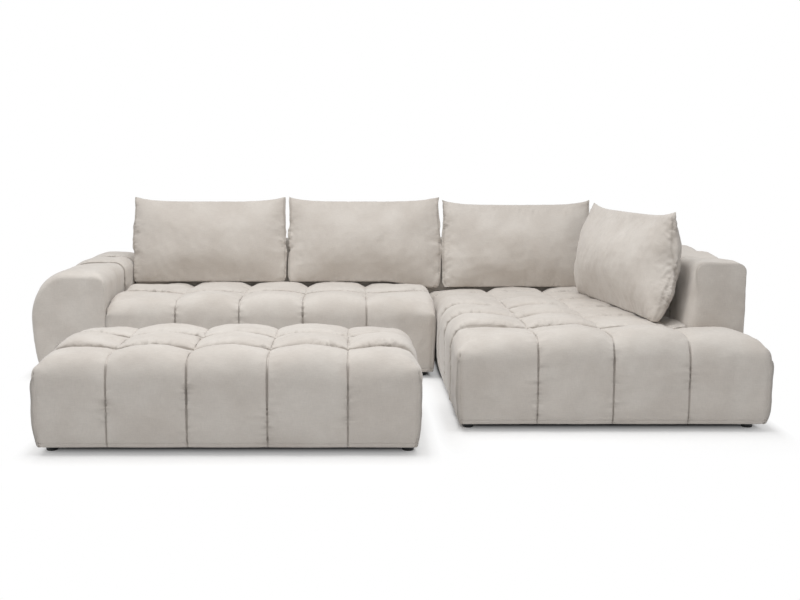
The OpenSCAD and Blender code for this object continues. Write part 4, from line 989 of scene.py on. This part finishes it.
def cushion(name, k, seed):
    """A loose cushion with its filling: blown up, fitted to its outline, creased and set in place."""
    width, height, is_side = CUSHION_W[k], CUSHION_H[k], k == 3
    u, v, co, faces = inflate(width * 1.04, height * 1.06, seed)
    sag = CUSHION_DRAW + CUSHION_EAR

    def want_x(t):
        ear = 0.004 * smooth((t - 0.75) / 0.25)
        low = 0.030 * np.clip((-t - 0.74) / 0.26, 0, 1) ** 2
        return width / 2 + 0.0015 + 0.008 * smooth((0.75 - t) / 0.6) + ear - low

    def want_y(t, end):
        if end > 0:
            return height / 2 + CUSHION_RISE[k] - CUSHION_DRAW + sag * np.abs(t) ** 6
        return -height / 2 + 0.010 * (1 - np.abs(t) ** 6)

    co = outline_fit(u, v, co, want_x, want_y)
    co[:, 2] *= CUSHION_HALF_T[k] / np.abs(co[:, 2]).max()
    if is_side:
        co[:, 2] *= np.where(co[:, 2] < 0, SIDE_REAR_SHARE, 1.0)
    co[:, 1] += height / 2
    cover = new_object(name + "_upholstery", co, faces)
    face_out(cover)
    cover.modifiers.new("Smooth", "SUBSURF").levels = 1
    apply_modifiers(cover)
    co, no = coordinates(cover), normals(cover)
    edge_x = want_x(2 * co[:, 1] / height - 1) - np.abs(co[:, 0])
    edge_y = height - CUSHION_DRAW - co[:, 1] + sag * np.abs(2 * co[:, 0] / width) ** 6
    edge_y = np.minimum(edge_y, co[:, 1])
    in_x, in_y = np.maximum(0, edge_x), np.maximum(0, edge_y)
    lift = 0.0016 * gathers(co, (0.25, 1, 1), in_x, seed, 0.026, 0.045)
    lift += 0.0016 * gathers(co, (1, 0.25, 1), in_y, seed + 4, 0.026, 0.045)
    lift += 0.0016 * waves(co, 0.16, seed + 5) + 0.0004 * waves(co, 0.05, seed + 6)
    lift *= smooth(np.minimum(in_x, in_y) / 0.012)
    pleated = smooth(0.4 + 0.8 * waves(co, 0.12, seed + 9)) * np.exp(-in_x / 0.03)
    mark(cover, "pleats_over_x", 0 * pleated if is_side else pleated)
    mark(cover, "pleats_over_y", pleated if is_side else 0 * pleated)
    # Painted shade: the colour darkens towards the cushion's top, and in a thin line just inside its sewn
    # sides
    top_shade = CUSHION_TOP_SHADE[k] * smooth(co[:, 1] / height)
    mark(cover, "painted_shade", top_shade + 0.35 * bell(edge_x - 0.011, 0.004))

    def placed(points):
        return place_side(points) if is_side else place_back(k, points)

    filling = new_object(name + "_fibre", co, [tuple(f.vertices) for f in cover.data.polygons])
    face_out(filling)
    set_coordinates(cover, placed(co + no * lift[:, None]))
    inside = placed(co)
    middle = (inside.min(axis=0) + inside.max(axis=0)) / 2
    set_coordinates(filling, lerp(middle, inside, FILLING_SHARE))
    cover.data.shade_smooth()
    finish_piece(cover, name + "_cover", CUSHION_FILL)
    finish_piece(filling, name + "_filling", CUSHION_FILL)


def foam_blocks():
    """Each foam block with its cut edges eased, a little smaller than its solid."""
    for node in [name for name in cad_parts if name.endswith("_foam")]:
        block = link_object(node + "_block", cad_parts[node].data.copy())
        block.modifiers.new("Weld", "WELD").merge_threshold = 1e-5
        edge = block.modifiers.new("Edge", "BEVEL")
        edge.width, edge.segments, edge.limit_method = FOAM_EDGE, 3, "ANGLE"
        apply_modifiers(block)
        co = coordinates(block)
        middle = (co.min(axis=0) + co.max(axis=0)) / 2
        set_coordinates(block, middle + (co - middle) * FOAM_SHARE)
        finish_piece(block, node, 1.0)


def dust_cloths():
    """Each dust cloth as one thin cloth, stapled taut under its frame, a little slack between the staples."""
    for node in [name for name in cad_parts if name.endswith("_dust_cover")]:
        bm = bmesh.new()
        bm.from_mesh(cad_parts[node].data)
        bmesh.ops.remove_doubles(bm, verts=bm.verts, dist=1e-5)
        bmesh.ops.delete(bm, geom=[f for f in bm.faces if f.normal.z > -0.9], context="FACES")
        area = sum(f.calc_area() for f in bm.faces)
        for _ in range(4):
            long = [e for e in bm.edges if e.calc_length() > CLOTH_MESH]
            bmesh.ops.subdivide_edges(bm, edges=long, cuts=1)
        bmesh.ops.triangulate(bm, faces=bm.faces)
        mesh = bpy.data.meshes.new(node + "_cloth")
        bm.to_mesh(mesh)
        bm.free()
        cloth = link_object(mesh.name, mesh)
        co = coordinates(cloth)
        co[:, 2] += CLOTH_LIFT + CLOTH_SLACK * waves(co, 0.18, 61)
        set_coordinates(cloth, co)
        solid = cloth.modifiers.new("Solid", "SOLIDIFY")
        solid.thickness, solid.offset = CLOTH_T, -1
        apply_modifiers(cloth)
        finish_piece(cloth, node)


# Camera, light and floor


def direct_ray(graph):
    """1 for what the camera sees straight, in a reflection or through glass."""
    rays = graph.add("LightPath", "Is Camera Ray").node.outputs
    either = graph.math("MAXIMUM", rays["Is Camera Ray"], rays["Is Glossy Ray"])
    return graph.math("MAXIMUM", either, rays["Is Transmission Ray"])


def studio():
    scene = bpy.context.scene
    lens = bpy.data.cameras.new("camera")
    lens.lens, lens.sensor_width, lens.shift_x = CAMERA_LENS, CAMERA_SENSOR, CAMERA_SHIFT_X
    camera = link_object("camera", lens)
    camera.location = CAMERA_AT
    camera.rotation_euler = (math.pi / 2 - CAMERA_PITCH, 0, 0)
    scene.camera = camera

    lamp = bpy.data.lights.new("overhead", "AREA")
    lamp.shape, lamp.energy = "RECTANGLE", LAMP_POWER
    lamp.size, lamp.size_y = LAMP_SIZE
    overhead = link_object("overhead", lamp)
    overhead.location = LAMP_AT
    overhead.rotation_euler = (Vector(LAMP_AIM) - overhead.location).to_track_quat("-Z", "Y").to_euler()

    scene.world = bpy.data.worlds.new("studio")
    graph = Graph(scene.world)
    light = graph.nodes["Background"]
    graph.fill(light, {"Color": (*WHITE, 1), "Strength": WORLD_LIGHT})
    seen = graph.add("Background", 0, {"Color": (*WHITE, 1), "Strength": 1.0})
    swap = graph.add("MixShader", 0, {0: direct_ray(graph), 1: light.outputs[0], 2: seen})
    graph.fill(graph.nodes["World Output"], {"Surface": swap})
    scene.view_settings.view_transform = "Standard"


def outside(graph, span, carrier=None):
    """How far a floor point lies outside a rectangle, below 0 inside it. The rectangle moves with carrier."""
    centre = ((span[0] + span[1]) / 2, (span[2] + span[3]) / 2, 0)
    half = ((span[1] - span[0]) / 2, (span[3] - span[2]) / 2, 0)
    away = graph.vector("SUBTRACT", graph.add("TexCoord", "Object", object=carrier), centre)
    away = graph.vector("SUBTRACT", graph.vector("ABSOLUTE", away), half)
    away = graph.vector("MULTIPLY", away, (FLOOR_SIDE, 1, 1))
    parts = graph.add("SeparateXYZ", 0, {0: away}).node.outputs
    inside = graph.math("MINIMUM", graph.math("MAXIMUM", parts[0], parts[1]), 0.0)
    beyond = graph.vector("LENGTH", graph.vector("MAXIMUM", away, (0, 0, 0)), out="Value")
    return graph.math("ADD", beyond, inside)


def studio_floor(ottoman):
    """A white floor with the furniture's shadow, which fades to plain white around it."""
    bpy.ops.mesh.primitive_plane_add(size=FLOOR_SIZE, location=(0, 0, 0))
    floor = bpy.context.object
    floor.name = "floor"
    mat = bpy.data.materials.new("floor_white")
    graph = Graph(mat)
    graph.nodes.remove(graph.nodes["Principled BSDF"])
    seen = direct_ray(graph)
    tone = graph.math("MULTIPLY_ADD", seen, FLOOR_SEEN - FLOOR_TONE, FLOOR_TONE)
    matt = graph.add("BsdfDiffuse", 0, {"Color": tone})
    # Painted light: to the camera and in reflections the floor glows white by a share that grows with its
    # distance from the furniture's outline, which lifts the shadow beside the furniture, and further away the
    # floor is plain white
    main, chaise = node_span("main_seat_cover"), node_span("chaise_seat_cover")
    main[0], main[3], chaise[3] = CAD_BOX[0][0], CAD_BOX[1][1], CAD_BOX[1][1]
    off = graph.math("MINIMUM", outside(graph, main), outside(graph, chaise))
    off = graph.math("MINIMUM", off, outside(graph, node_span("ottoman_cover"), ottoman))
    start, width = FLOOR_FADE[0], FLOOR_FADE[1] - FLOOR_FADE[0]
    stops = [((distance - start) / width, (share,) * 3) for distance, share in FLOOR_LIFT]
    lift = graph.ramp(graph.math("DIVIDE", graph.math("SUBTRACT", off, start), width),
                      (0, BLACK), (1, WHITE), *stops)
    # Painted light: the floor's glow, mixed in by its distance from the furniture
    glow = graph.add("Emission", 0)
    swap = graph.add("MixShader", 0, {0: graph.math("MULTIPLY", lift, seen), 1: matt, 2: glow})
    graph.fill(graph.nodes["Material Output"], {"Surface": swap})
    floor.data.materials.append(mat)


for node_name, node_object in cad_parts.items():
    dress(node_object, ending_slot(node_name))

studio()
main_seat()
chaise_seat()
studio_floor(ottoman_top())
arm_block_and_backs()
for index, cushion_name in enumerate(CUSHIONS):
    cushion(cushion_name, index, 100 + 10 * index)
foam_blocks()
dust_cloths()
